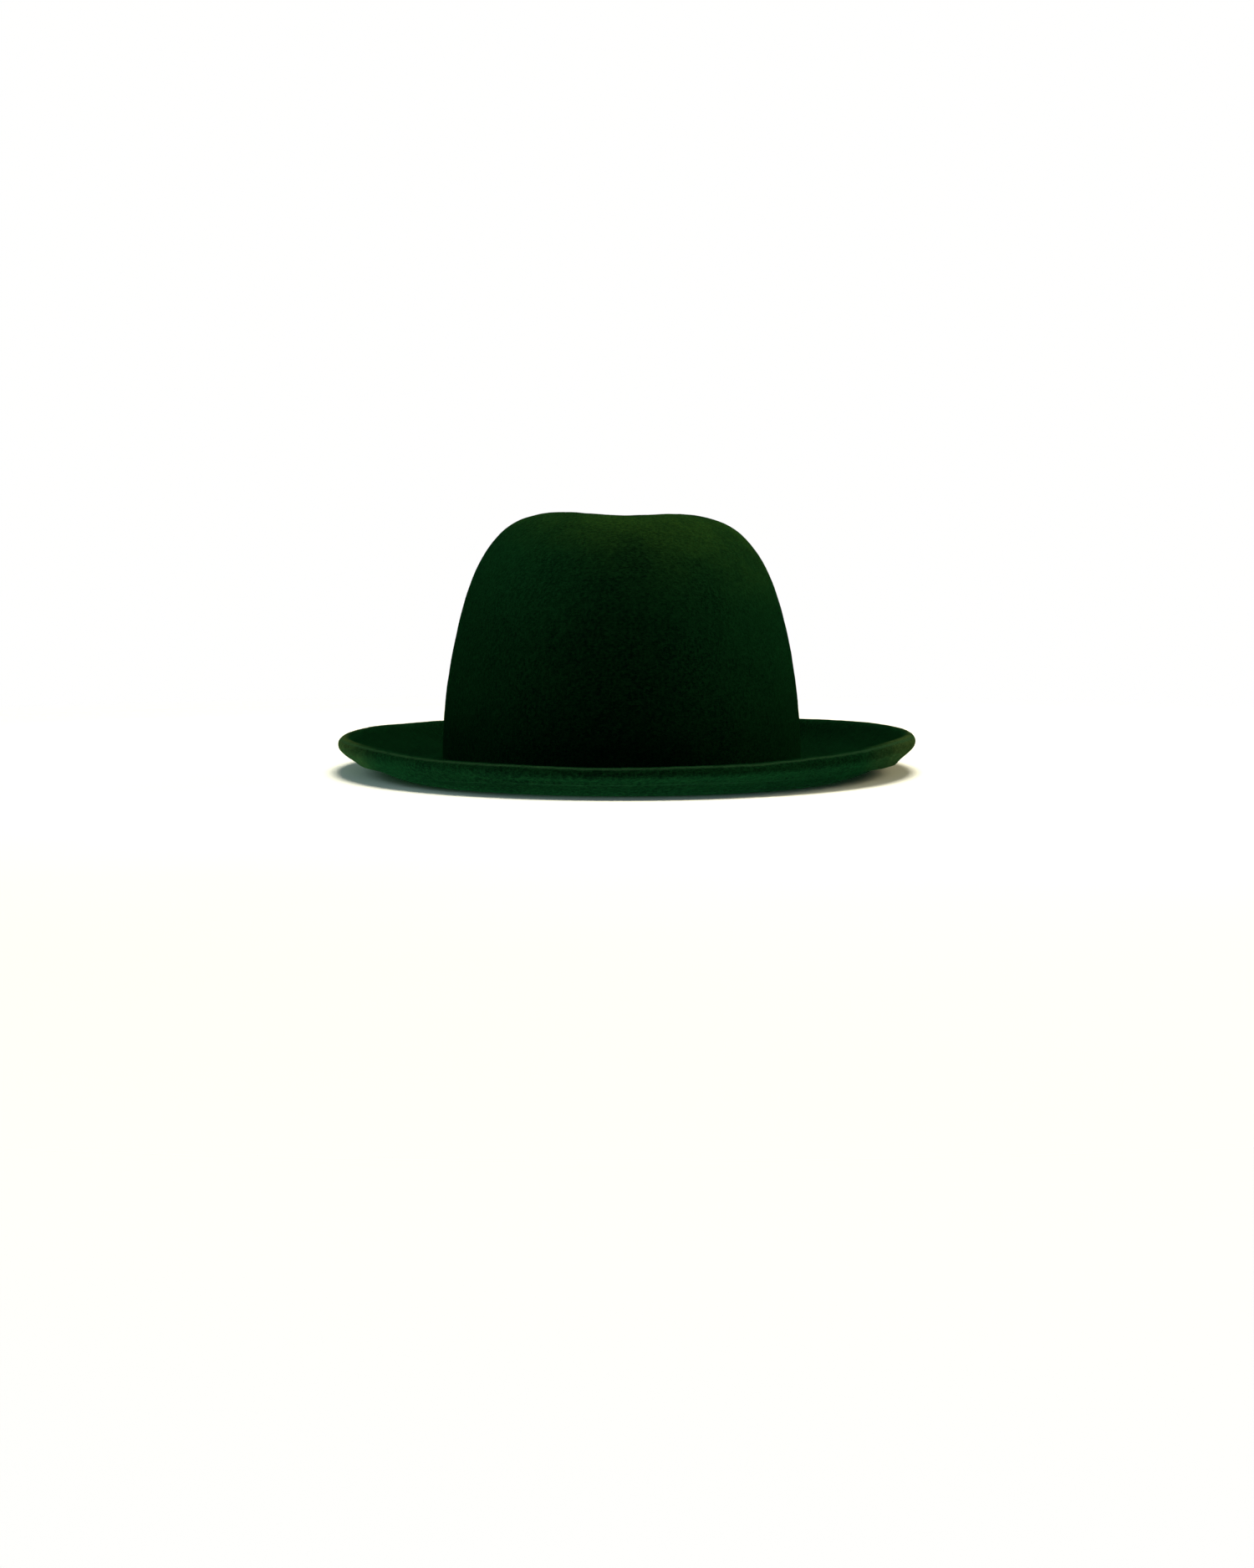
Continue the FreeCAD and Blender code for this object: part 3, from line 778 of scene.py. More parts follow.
def feltFinish():
    f, l = Finish("feltNap"), feltLook
    nap = f.use(napGroup, {"Point": f.point})
    worn = f.use(wearGroup, {"Point": f.point}, Amount=l["wear"])["Worn"]
    places = {"Point": f.point, "Cut": f.cut}
    paintedLightAndWear = f.use(paintedLightGroup, {**places, "Cloud": nap["Cloud"]})
    cutEdge = f.use(lineGroup, places, Place=0.0, Half_Width=l["edgeHalf"])["Mask"]
    # where the painted highlight along the crest goes
    crest = f.use(lineGroup, places, Place=l["crestLine"], Half_Width=l["crestHighlightHalf"])["Mask"]
    grain = plus(f.tree, times(f.tree, nap["Mask"], 1 - l["grainLeast"]), l["grainLeast"])
    shade = f.mix(nap["Cloud"], l["deep"], l["lit"])
    shade = f.over(shade, l["tip"], nap["Mask"], l["tipShare"])
    shade = f.mix(worn, shade, l["worn"])
    # painted top light from the upper right, with some fading, over the fibres
    shade = f.over(shade, l["topLightAndFade"], paintedLightAndWear["Faded"], grain)
    # painted side light, with some rubbing, on the side rims
    shade = f.over(shade, l["sideLightAndRub"], paintedLightAndWear["Rubbed"], grain)
    # painted shade: the deep colour laid into the brim's trough
    shade = f.over(shade, l["deep"], paintedLightAndWear["Trough"], l["troughShadeShare"])
    # painted highlight along the crest of the roll
    shade = f.over(shade, l["crest"], crest, l["crestHighlightShare"])
    f.colour(f.over(shade, l["edge"], cutEdge, l["edgeShare"]))
    f.rough(nap["Mask"], 0.96, 0.85)
    f.plain(Sheen_Weight=l["sheen"], Sheen_Roughness=l["sheenRoughness"], Sheen_Tint=l["sheenTint"])
    f.plain(Specular_IOR_Level=0.0)
    f.bump(nap["Height"], l["bump"], 1.0)
    return f.material


def threadFinish(name, light, dark, gloss=0.55):
    f = Finish(name)
    fuzz = f.nap(5000.0, 300.0)
    f.colour(f.mix(fuzz["Mask"], dark, light))
    f.rough(fuzz["Cloud"], gloss, gloss + 0.2)
    f.plain(Sheen_Weight=0.25, Sheen_Roughness=0.4)
    f.bump(fuzz["Height"], 0.00006, 0.7)
    return f.material


leatherLook = {
    "dark": (0.105, 0.042, 0.017),
    "light": (0.2, 0.09, 0.038),
    "pores": (0.05, 0.02, 0.009),
    "worn": (0.36, 0.2, 0.1),
    "wear": 0.7,
}


def leatherFinish():
    f, l = Finish("bandLeather"), leatherLook
    grain = f.use(grainGroup, {"Cut": f.cut})
    worn = f.use(wearGroup, {"Point": f.point}, Amount=l["wear"])["Worn"]
    shade = f.over(f.mix(grain["Patina"], l["dark"], l["light"]), l["pores"], grain["Pores"], 0.6)
    f.colour(f.mix(worn, shade, l["worn"]))
    f.rough(grain["Patina"], 0.36, 0.55)
    f.plain(Specular_IOR_Level=0.45, Coat_Weight=0.08, Coat_Roughness=0.35)
    f.bump(grain["Height"], 0.00012, 0.75)
    return f.material


clothLook = {
    # light, dark, warp pitch, weft pitch, weft share, roughness, sheen, height of the weave
    "tapeCotton": ((0.1, 0.085, 0.06), (0.04, 0.033, 0.024), 0.0007, 0.0007, 0.5, 0.75, 0.25, 0.00012),
    "grosgrain": ((0.04, 0.03, 0.02), (0.016, 0.011, 0.008), 0.0009, 0.0011, 0.9, 0.5, 0.35, 0.00018),
    "labelCloth": ((0.62, 0.58, 0.47), (0.42, 0.38, 0.3), 0.0003, 0.0003, 0.5, 0.5, 0.2, 0.00006),
}


def clothFinish(name):
    light, dark, warp, weft, share, roughness, sheen, height = clothLook[name]
    f = Finish(name)
    weave = f.use(weaveGroup, {"Cut": f.cut}, Warp_Pitch=warp, Weft_Pitch=weft, Weft_Share=share)
    tone = f.nap(700.0, 30.0)
    stain = tuple(0.6 * c for c in dark)
    f.colour(f.over(f.mix(weave["Mask"], dark, light), stain, tone["Cloud"], 0.35))
    f.rough(tone["Cloud"], roughness, roughness + 0.12)
    f.plain(Sheen_Weight=sheen, Sheen_Roughness=0.35)
    f.bump(weave["Height"], height, 0.8)
    return f.material


satinLook = {
    "dark": (0.2, 0.115, 0.03),
    "light": (0.33, 0.2, 0.06),
    "thread": (0.46, 0.31, 0.11),
}


def satinFinish():
    f, l = Finish("liningSatin"), satinLook
    weave = f.use(weaveGroup, {"Cut": f.cut}, Warp_Pitch=0.00022, Weft_Pitch=0.0012, Weft_Share=0.15)
    tone = f.nap(500.0, 26.0)
    f.colour(f.over(f.mix(tone["Cloud"], l["dark"], l["light"]), l["thread"], weave["Mask"], 0.35))
    f.rough(tone["Cloud"], 0.3, 0.42)
    f.plain(Specular_IOR_Level=0.6, Anisotropic=0.6, Sheen_Weight=0.2)
    f.bump(weave["Height"], 0.00005, 0.6)
    return f.material


def filmFinish():
    f = Finish("clearFilm")
    haze = f.nap(260.0, 60.0)
    f.colour(f.mix(haze["Cloud"], (0.6, 0.62, 0.6), (0.5, 0.52, 0.5)))
    f.rough(haze["Cloud"], 0.05, 0.14)
    f.plain(Alpha=0.14, IOR=1.46, Specular_IOR_Level=0.7)
    f.bump(haze["Cloud"], 0.0004, 0.5)
    return f.material


def metalFinish(name, light, dark, roughness):
    f = Finish(name)
    haze = f.nap(2500.0, 220.0)
    f.colour(f.mix(haze["Cloud"], light, dark))
    f.rough(haze["Mask"], roughness, roughness + 0.2)
    f.plain(Metallic=1.0)
    f.bump(haze["Height"], 0.00003, 0.4)
    return f.material


def reedFinish():
    f = Finish("reedPlastic")
    haze = f.nap(1500.0, 150.0)
    f.colour(f.mix(haze["Cloud"], (0.55, 0.52, 0.42), (0.45, 0.42, 0.33)))
    f.rough(haze["Mask"], 0.35, 0.5)
    f.bump(haze["Height"], 0.00003, 0.3)
    return f.material


felt = feltFinish()
leather = leatherFinish()
satin = satinFinish()
film = filmFinish()
tapeCotton, grosgrain, labelCloth = (clothFinish(name) for name in clothLook)
bandThread = threadFinish("bandThread", (0.4, 0.26, 0.12), (0.2, 0.12, 0.05))
satinThread = threadFinish("satinThread", (0.36, 0.28, 0.14), (0.2, 0.15, 0.07))
handThread = threadFinish("handThread", (0.03, 0.045, 0.03), (0.01, 0.016, 0.01), 0.45)
feltThread = threadFinish("feltThread", (0.008, 0.022, 0.01), (0.003, 0.01, 0.004))
springSteel = metalFinish("springSteel", (0.5, 0.5, 0.52), (0.32, 0.32, 0.34), 0.3)
ferruleBrass = metalFinish("ferruleBrass", (0.62, 0.43, 0.16), (0.4, 0.26, 0.09), 0.32)
reedPlastic = reedFinish()
print("finishes made")

# the felt body

feltMesh = {
    "around": 288,  # four times the side of the cap's grid
    "crownRows": 84,
    "insideRows": 56,
    "capPlace": 0.86,  # the grid of the cap starts here on the side's curve
    "capAway": 0.5,  # the cap's own coordinates, clear of the lines at the fold
    "edgeRound": 0.92,
    "fuzz": 0.00007,
    "fuzzSize": 0.0016,
    "pebble": 0.00012,
    "pebbleSize": 0.007,
}


def feltBody():
    f, m = brimForm, feltMesh
    half = wall["felt"] / 2
    count = m["around"]
    angles = 2 * math.pi * np.arange(count) / count + math.pi / 4
    rows = []

    def crownRows(places, inward):
        a, p = np.meshgrid(angles, places)
        return list(crownAt(a, p, np.full_like(a, inward), True))

    steps = m["crownRows"]
    outerPlaces = [m["capPlace"] * (1 - i / steps) for i in range(steps)]
    rows += crownRows(outerPlaces, -half)

    middle = brimMiddle(angles)

    def shifted(index, right):
        out, high, heading = middle[index]
        return out + right * np.sin(heading), high - right * np.cos(heading)

    for index in range(len(middle)):  # down the break, out over the brim and up the curl
        rows.append(swayed(angles, *shifted(index, -half)))

    gap = blend(f["foldGap"], angles)
    crest = middle[-1][2]
    foldOut, foldHigh = shifted(-1, half + gap / 2)

    def halfTurn(out, high, heading, radius, steps, backward=False):
        found = []
        for i in range(steps + 1):
            turn = heading + back - math.pi * (1 - i / steps if backward else i / steps)
            found.append((out + radius * np.cos(turn), high + radius * np.sin(turn)))
        return found

    for out, high in halfTurn(foldOut, foldHigh, crest, gap / 2 + wall["felt"], 10)[1:]:
        rows.append(swayed(angles, out, high))

    weltSteps = 9
    for i in range(1, weltSteps + 1):
        rows.append(swayed(angles, *weltAt(angles, i / weltSteps, 3 * half)))
    now = rollBack(angles, 1.0)[2]
    edgeOut, edgeHigh = weltAt(angles, 1.0, 2 * half)
    for o, h in halfTurn(edgeOut, edgeHigh, now + math.pi, half * m["edgeRound"], 8)[1:-1]:
        rows.append(swayed(angles, o, h))
    edgeRow = len(rows) - 4  # the middle of the welt's rounded edge
    for i in range(weltSteps, 0, -1):
        rows.append(swayed(angles, *weltAt(angles, i / weltSteps, half)))
    for o, h in halfTurn(foldOut, foldHigh, crest, gap / 2, 6, backward=True):
        rows.append(swayed(angles, o, h))
    for index in range(len(middle) - 2, -1, -1):  # back along the underside and up inside the break
        rows.append(swayed(angles, *shifted(index, half)))

    steps = m["insideRows"]
    innerPlaces = [m["capPlace"] * (i + 1) / steps for i in range(steps)]
    rows += crownRows(innerPlaces, half)

    grid = np.array(rows)
    faces = ringFaces(len(rows), count)
    points = grid.reshape(-1, 3).tolist()

    # the section's own length runs up the cloth, the headline's length runs along it
    along = lengthsAlong(placeOnBrim(angles, 0 * angles, 0 * angles))
    up = lengthsAlong(grid[:, 0, :])
    up = up - up[edgeRow]
    uvs = [(along[c], up[r]) for r in range(len(rows)) for c in range(count)]

    side = count // 4
    radius, turn = capGrid(side)
    inside = radius < 1 - 1e-6
    for inward, ring in ((-half, 0), (half, len(rows) - 1)):
        where = np.zeros(radius.shape, int)
        columns = np.round((turn - math.pi / 4) / (2 * math.pi) * count).astype(int) % count
        where[~inside] = ring * count + columns[~inside]
        where[inside] = len(points) + np.arange(inside.sum())
        places = 1 - (1 - m["capPlace"]) * radius[inside]
        made = crownAt(turn[inside], places, np.full_like(places, inward), True)
        points += made.tolist()
        uvs += [(p[0], p[1] + m["capAway"]) for p in made]
        for j in range(side):
            for i in range(side):
                corners = ((j, i), (j, i + 1), (j + 1, i + 1), (j + 1, i))
                faces.append(tuple(int(where[corner]) for corner in corners))

    hood = makeObject("feltHood", points, faces, felt, uvs)
    faceOutward(hood)
    mesh = hood.data
    for vertex, normal in zip(mesh.vertices, [v.normal.copy() for v in mesh.vertices]):
        rough = softNoise(vertex.co, m["fuzzSize"], 1) * m["fuzz"]
        rough += softNoise(vertex.co, m["pebbleSize"], 5) * m["pebble"]
        vertex.co += normal * rough
        if vertex.co.z < 0.0:
            vertex.co.z = 0.0
    wear(hood, "felt", "felt_body")
    print("felt made", len(mesh.polygons))


feltBody()

# the wire in the fold

wireLook = {"radius": 0.0006, "ferrule": 0.00082, "bore": 0.00064, "length": 0.018, "gap": 0.0006}


def pipe(name, path, radii, material, sides=12):
    # a round bar along a path; a second radius makes it a tube
    tangent = np.gradient(path, axis=0)
    tangent /= np.linalg.norm(tangent, axis=1, keepdims=True)
    across = np.cross(tangent, (0.0, 0.0, 1.0))
    across /= np.linalg.norm(across, axis=1, keepdims=True)
    upward = np.cross(across, tangent)
    turns = 2 * math.pi * np.arange(sides) / sides
    rings = []
    for size, way in [(radii[0], 1)] + [(r, -1) for r in radii[1:]]:
        grid = path[:, None] + size * (
            np.cos(turns)[None, :, None] * across[:, None] + np.sin(turns)[None, :, None] * upward[:, None]
        )
        rings += list(grid[::way])
    points = np.array(rings).reshape(-1, 3)
    faces = ringFaces(len(rings), sides)
    last = (len(rings) - 1) * sides
    if len(radii) > 1:
        faces += [(last + k, last + (k + 1) % sides, (k + 1) % sides, k) for k in range(sides)]
    else:
        faces += [tuple(reversed(range(sides))), tuple(last + k for k in range(sides))]
    bar = makeObject(name, points, faces, material)
    faceOutward(bar)
    return bar


def brimWire():
    w = wireLook
    speed = midWide + brimForm["reach"]
    half = w["gap"] / 2 / speed
    angles = np.linspace(back + half, back + 2 * math.pi - half, 361)
    wear(pipe("hoopWire", foldLine(angles), (w["radius"],), springSteel), "wire", "brim_wire")
    half = w["length"] / 2 / speed
    angles = np.linspace(back - half, back + half, 25)
    path = foldLine(angles)
    pinch = pipe("crimpedTube", path, (w["ferrule"], w["bore"]), ferruleBrass, 20)
    wear(pinch, "ferrule", "brim_wire_ferrule")


def weltStitches():
    f = brimForm
    bite = f["stitchBite"]
    share = 1 - f["stitchIn"] / blend(f["welt"], np.array([0.8]))[0]
    angles = 2 * math.pi * (np.arange(f["stitches"]) + 0.5) / f["stitches"]
    starts = swayed(angles, *weltAt(angles, share, wall["felt"] / 2 + bite))
    out, high, now = rollBack(angles, share)[:3]
    right = wall["felt"] / 2 - bite
    stops = swayed(angles, out + right * np.sin(now), high - right * np.cos(now))
    paths = [np.linspace(a, b, 5) for a, b in zip(starts, stops)]
    made = threadMesh("blindStitches", paths, "blind", feltThread)
    wear(made, "felt_thread", "welt_stitches")


brimWire()
weltStitches()
print("wire made")

# leather sweatband

bandLook = {
    "height": 0.038,
    "columns": 568,  # two for each stitch hole
    "butt": 0.0006,
    "holeLow": 0.001,  # the zigzag's two rows of holes above the leather's lower edge
    "holeRise": 0.002,
    "holeDepth": 0.00022,
    "lines": (0.003, 0.0046),  # tooled lines below the upper edge
    "lineDepth": 0.0002,
    "wave": 0.0009,
    "buckle": 0.00012,
}
bandFoot = bandLow.z - breakTop
bandFar = wall["toLeather"] + wall["leather"]
bandTrip, bandAngle = roundTrip(bandFar)


def sweatBand():
    b = bandLook
    count = b["columns"]
    ends = [b["butt"] / 2 + e for e in (0, 0.00007, 0.00028)]
    inner = [bandTrip * j / count for j in range(1, count)]
    lengths = np.array(ends + inner + [bandTrip - e for e in reversed(ends)])
    angles = bandAngle(lengths)
    top = b["height"]
    marks = [0, 0.07, 0.28, 0.55, 0.8, 1.0, 1.2, 1.6, 2.2, 2.8, 3.0, 3.2, 3.6, 4.4]
    marks += list(np.linspace(5.6, 32.2, 16))
    marks += [33.0, 33.2, 33.4, 33.6, 33.8, 34.2, 34.6, 34.8, 35.0, 35.2, 35.4]
    marks += [36.2, 37.0, 37.45, 37.72, 37.93, 38]
    above = np.array(marks) * top / 38
    a, v = np.meshgrid(angles, above)
    loose = np.clip((v - 0.55 * top) / (0.45 * top), 0, 1) ** 2
    sway = noiseRound(angles, 0, 0.035, 21)
    lift = loose * b["wave"] * np.clip(0.45 + 0.9 * sway, 0, 1)[None, :]
    dents = noiseOver(wallGrid(angles, above, 0), 0.014, 4)
    lift = lift + b["buckle"] * dents * np.clip(v / 0.004, 0, 1)
    middles = wallGrid(angles, above + bandFoot, wall["toLeather"] + wall["leather"] / 2 + lift)
    half = rounded(above, wall["leather"])[:, None] * rounded(lengths, wall["leather"])[None, :]
    half = half / (wall["leather"] / 2)
    press = np.zeros_like(a)
    for line in b["lines"]:
        press -= b["lineDepth"] * np.exp(-(((v - (top - line)) / 0.00025) ** 2))
    hole = np.round(lengths / bandTrip * count).astype(int)
    atHole = (hole % 2 == 1) & (lengths > ends[-1]) & (lengths < bandTrip - ends[-1])
    for parity in (0, 1):
        near = np.exp(-(((v - b["holeLow"] - parity * b["holeRise"]) / 0.00022) ** 2))
        press -= b["holeDepth"] * near * (atHole & ((hole // 2) % 2 == parity))[None, :]
    band = thinSolid("leatherBand", middles, half, leather, front=press)
    wear(band, "leather", "sweatband")


def overLeather(starts, stops, samples=15):
    # one thread's line from hole to hole over the leather; each end is (angle, height)
    share = np.linspace(0, 1, samples)
    near = np.minimum(share, 1 - share)
    lift = -0.00045 + 0.00066 * np.clip(near / 0.16, 0, 1) ** 0.6 + 0.00004 * np.sin(math.pi * share)
    angles = starts[0] + (stops[0] - starts[0]) * share
    heights = starts[1] + (stops[1] - starts[1]) * share
    inward = wall["felt"] / 2 + bandFar + lift
    return crownAt(angles, placeAt(heights), inward)


def bandStitches():
    count = bandLook["columns"] // 2
    holes = bandAngle(bandTrip * (np.arange(count) + 0.5) / count)
    low = bandFoot + bandLook["holeLow"]
    heights = [low + bandLook["holeRise"] * (k % 2) for k in range(count)]
    paths = []
    for k in range(count - 1):
        slip = [random.gauss(0, 0.00006) for _ in range(2)]
        paths.append(
            overLeather((holes[k], heights[k] + slip[0]), (holes[k + 1], heights[k + 1] + slip[1]))
        )
    zigzag = threadMesh("bandZigzag", paths, "band", bandThread)
    wear(zigzag, "band_thread", "sweatband_stitches")


def seamStitches():
    low = 0.01
    paths = []
    for side in (-1, 1):
        angle = back + side * 0.003 / (midWide - wall["felt"] / 2 - bandFar)
        for k in range(6):
            foot = low + 0.0036 * k + random.gauss(0, 0.0001)
            tilt = random.gauss(0, 0.0006)
            paths.append(overLeather((angle - tilt, foot), (angle + tilt, foot + 0.0024)))
    seam = threadMesh("seamThread", paths, "band", bandThread)
    wear(seam, "band_thread", "sweatband_seam_stitches")


sweatBand()
bandStitches()
seamStitches()
print("leather made")

# tape behind the leather

tapeLook = {
    "gap": 0.0003,
    "layer": 0.00024,
    "wrap": 0.0004,
    "tail": 0.0075,
    "beadDepth": 0.000945,  # the reed's centre in from the felt and below the break
    "beadDrop": 0.0026,
    "beadRadius": 0.00129,
    "backing": 0.0003,  # thickness of the tape behind the seam
    "backingHeights": (0.009, 0.0355),
    "backingHalf": 0.009,
    "backingOff": 0.000225,  # its middle from the leather
}


def reedTape():
    t = tapeLook
    near = t["gap"] + t["layer"] / 2
    far = near + t["layer"] + 0.00002
    path = [(near, h) for h in np.linspace(t["tail"], -0.0012, 10)]
    start, stop = math.radians(113), math.radians(102 + 360)
    for turn in np.linspace(start, stop, 26):
        deep = t["beadDepth"] + t["beadRadius"] * math.cos(turn)
        path.append((deep, t["beadRadius"] * math.sin(turn) - t["beadDrop"]))
    path += [(far, h) for h in np.linspace(-0.0012, t["tail"], 10)]
    trip, angleOf = roundTrip(bandFar)
    lengths = edged(bandLook["butt"] / 2, trip - bandLook["butt"] / 2, 400, t["wrap"] / 2)
    angles = angleOf(lengths)
    rows = []
    for depth, height in path:
        pull = noiseRound(angles, height * 3, 0.004, 2)
        loose = 0.00006 if height < 0 else 0.00001
        rows.append(wallGrid(angles, [height], depth + loose * pull)[0])
    thick = np.array([t["wrap"] if h < -0.0013 else t["layer"] for _, h in path])
    half = thick[:, None] / 2 * (rounded(lengths, t["wrap"]) / (t["wrap"] / 2))[None, :]
    tape = thinSolid("reedWrap", np.array(rows), half, tapeCotton)
    wear(tape, "tape", "reed_tape")


def seamTape():
    t = tapeLook
    thick, reach = t["backing"], t["backingHalf"]
    angles = back + edged(-reach, reach, 30, thick) / (midWide - wall["felt"] / 2)
    heights = edged(*t["backingHeights"], 40, thick)
    middles = wallGrid(angles, heights, wall["toLeather"] - t["backingOff"])
    half = rounded(heights, thick)[:, None] * np.ones(len(angles))[None, :]
    wear(thinSolid("seamBacking", middles, half, tapeCotton), "tape", "sweatband_seam_tape")


reedTape()
seamTape()
print("tape made")

# ribbon bow at the back

bowLook = {
    "ribbon": 0.00032,
    "width": 0.007,
    "reach": 0.014,
    "depth": 0.0023,
    "height": 0.009,
    "tail": 0.015,
    "slant": 30.0,
    "notch": 0.2,
    "ribPitch": 0.0009,
    "rib": 0.00004,
    "knotWidth": 0.005,
}
bowFace = bowLow.y + 0.0024
bowMiddle = breakTop + bowLook["height"]


def ribs(lengths):
    return bowLook["rib"] * np.sin(2 * math.pi * lengths / bowLook["ribPitch"])


def bowLoop(side):
    b = bowLook
    path = []
    knee = b["reach"] - b["depth"] / 2
    for x in np.linspace(0.0004, knee, 40):
        path.append((x, bowFace - 0.0002 - 0.0003 * math.exp(-x / 0.003)))
    for turn in np.linspace(back, -back, 18)[1:-1]:
        face = bowFace - b["depth"] / 2 - 0.0001 + b["depth"] / 2 * math.sin(turn)
        path.append((knee + b["depth"] / 2 * math.cos(turn), face))
    for x in np.linspace(knee, 0.0004, 40):
        path.append((x, bowFace - b["depth"] + 0.0001 + 0.0009 * math.exp(-x / 0.0028)))
    path = np.array(path)
    lengths = lengthsAlong(path)
    across = edged(-1, 1, 21, 0.08)
    rows = []
    for v in across:
        width = b["width"] / 2 * (1 - 0.26 * np.exp(-path[:, 0] / 0.0025))
        pleat = 0.00022 * math.cos(2.5 * math.pi * v) * np.exp(-path[:, 0] / 0.0035)
        droop = 0.0007 * (path[:, 0] / b["reach"]) ** 2 * (1 if side > 0 else 0.6)
        rows.append(np.stack([side * path[:, 0], path[:, 1] + pleat, bowMiddle + v * width - droop], axis=1))
    half = rounded(across * b["width"] / 2, b["ribbon"])[:, None] * np.ones(len(path))[None, :]
    return np.array(rows), half, np.tile(ribs(lengths), (len(across), 1))


def bowTail(side):
    b = bowLook
    face = bowFace + (0.00028 if side < 0 else 0.00072)
    slant = math.radians(-b["slant"])
    along = np.linspace(0, 1, 72)
    across = edged(-1, 1, 21, 0.08)
    rows = []
    for v in across:
        reach = b["tail"] * (1 - b["notch"] * (1 - abs(v)))
        s = along * reach
        width = 0.0012 + 0.0018 * along
        x = s * math.cos(slant) - v * width * math.sin(slant)
        z = s * math.sin(slant) + v * width * math.cos(slant)
        curl = 0.00006 * np.sin(9 * along + v)
        rows.append(np.stack([side * x, face + curl, bowMiddle + z], axis=1))
    edges = rounded(across * 0.003, b["ribbon"]) / (b["ribbon"] / 2)
    half = rounded(along * b["tail"], b["ribbon"])[None, :] * edges[:, None]
    return np.array(rows), half, np.tile(ribs(along * b["tail"]), (len(across), 1))


def joined(name, parts, material, slotName, *nodes):
    # several meshes made one
    first = parts[0]
    with bpy.context.temp_override(active_object=first, selected_editable_objects=parts):
        bpy.ops.object.join()
    first.name = name
    wear(first, slotName, *nodes)


def bow():
    parts = []
    for side in (-1, 1):
        for made, label in ((bowLoop(side), "loop"), (bowTail(side), "tail")):
            rows, half, raised = made
            parts.append(thinSolid(label, rows, half, grosgrain, front=raised, behind=raised))
    joined("ribbonBow", parts, grosgrain, "ribbon", "sweatband_bow")


def bowKnot():
    b = bowLook
    middleY, middleZ = (knotLow.y + knotHigh.y) / 2, (knotLow.z + knotHigh.z) / 2
    deep = (knotHigh.y - knotLow.y) / 2 - b["ribbon"] / 2 - 0.00002
    tall = (knotHigh.z - knotLow.z) / 2 - b["ribbon"] / 2 - 0.00002
    turns = 2 * math.pi * np.arange(96) / 96
    across = edged(-1, 1, 21, 0.08)
    rows = []
    for v in across:
        squeeze = 1 - 0.1 * np.maximum(-np.cos(turns), 0) ** 2
        y = middleY + deep * np.sign(np.cos(turns)) * np.abs(np.cos(turns)) ** 0.55
        z = middleZ + tall * np.sign(np.sin(turns)) * np.abs(np.sin(turns)) ** 0.6
        fold = 0.0001 * math.cos(2 * math.pi * v) * np.maximum(-np.cos(turns), 0)
        rows.append(np.stack([v * b["knotWidth"] / 2 * squeeze, y + fold, z], axis=1))
    grid = np.array(rows)
    half = rounded(across * b["knotWidth"] / 2, b["ribbon"])[:, None] * np.ones(96)[None, :]
    raised = np.tile(b["rib"] * np.sin(2 * math.pi * np.arange(96) / 4), (len(across), 1))
    knot = thinSolid("ribbonKnot", grid, half, grosgrain, closed=True, front=raised, behind=0 * raised)
    wear(knot, "ribbon", "bow_knot")


bow()
bowKnot()
print("bow made")

# satin lining

liningLook = {
    "start": 0.010,
    "follow": 0.052,
    "seam": 0.74,
    "gathers": 48,
    "gatherDepth": 0.0013,
    "swing": 0.0004,
    "stitches": 86,
    "shieldPlace": 0.84,
    "buckle": 0.00025,
}


def liningDepth(places):
    start = placeAt(liningLook["follow"])
    part = np.clip((places - start) / (liningLook["seam"] - start), 0, 1)
    return wall["liningGap"] + (wall["tipDrop"] - wall["liningGap"]) * part * part * (3 - 2 * part)


def gatherAt(angles):
    # uneven pleats round the seam: 0 in a valley, 1 on a ridge
    l = liningLook
    drift = np.array([softNoise((math.cos(x), math.sin(x), 0), 0.3, 11) for x in angles.ravel()])
    size = np.array([softNoise((math.cos(x), math.sin(x), 1), 0.12, 12) for x in angles.ravel()])
    drift, size = drift.reshape(angles.shape), size.reshape(angles.shape)
    wave = 0.5 + 0.5 * np.cos(l["gathers"] * angles + 5 * drift)
    return wave**1.4 * np.clip(0.75 + 0.8 * size, 0.15, 1.25)


def liningSide():
    l = liningLook
    places = np.linspace(float(placeAt(l["start"])), l["seam"], 66)
    count = l["gathers"] * 9
    angles = 2 * math.pi * np.arange(count) / count
    a, p = np.meshgrid(angles, places)
    up = (p - places[0]) / (places[-1] - places[0])
    hang = np.clip((up - 0.25) / 0.6, 0, 1) ** 1.3 * (1 - 0.82 * np.clip((up - 0.93) / 0.07, 0, 1) ** 2)
    billow = np.clip(noiseOver(crownMiddle(a, p, False), 0.022, 8) + 0.3, 0, 1)
    depth = liningDepth(p) + wall["satin"] / 2
    depth = depth + l["gatherDepth"] * hang * gatherAt(a)
    depth = depth + l["swing"] * growing(up, 0.3, 0.2) * billow
    middles = crownAt(a, p, wall["felt"] / 2 + depth)
    half = np.full(a.shape, 0.00013)
    side = thinSolid("liningSide", middles, half, satin, closed=True)
    wear(side, "satin", "lining_side")


def tipDisc(name, edgePlace, depthOf, thickness, material, side=72):
    radius, turn = capGrid(side)
    places = 1 - (1 - edgePlace) * radius
    middles = crownAt(turn, places, wall["felt"] / 2 + depthOf(radius, turn, places))
    rim = (1 - radius) * 0.05
    half = thickness / 2 * np.clip(np.sqrt(np.clip(rim / (thickness / 2), 0, 1)), 0.15, 1)
    return middles, thinSolid(name, middles, half, material)


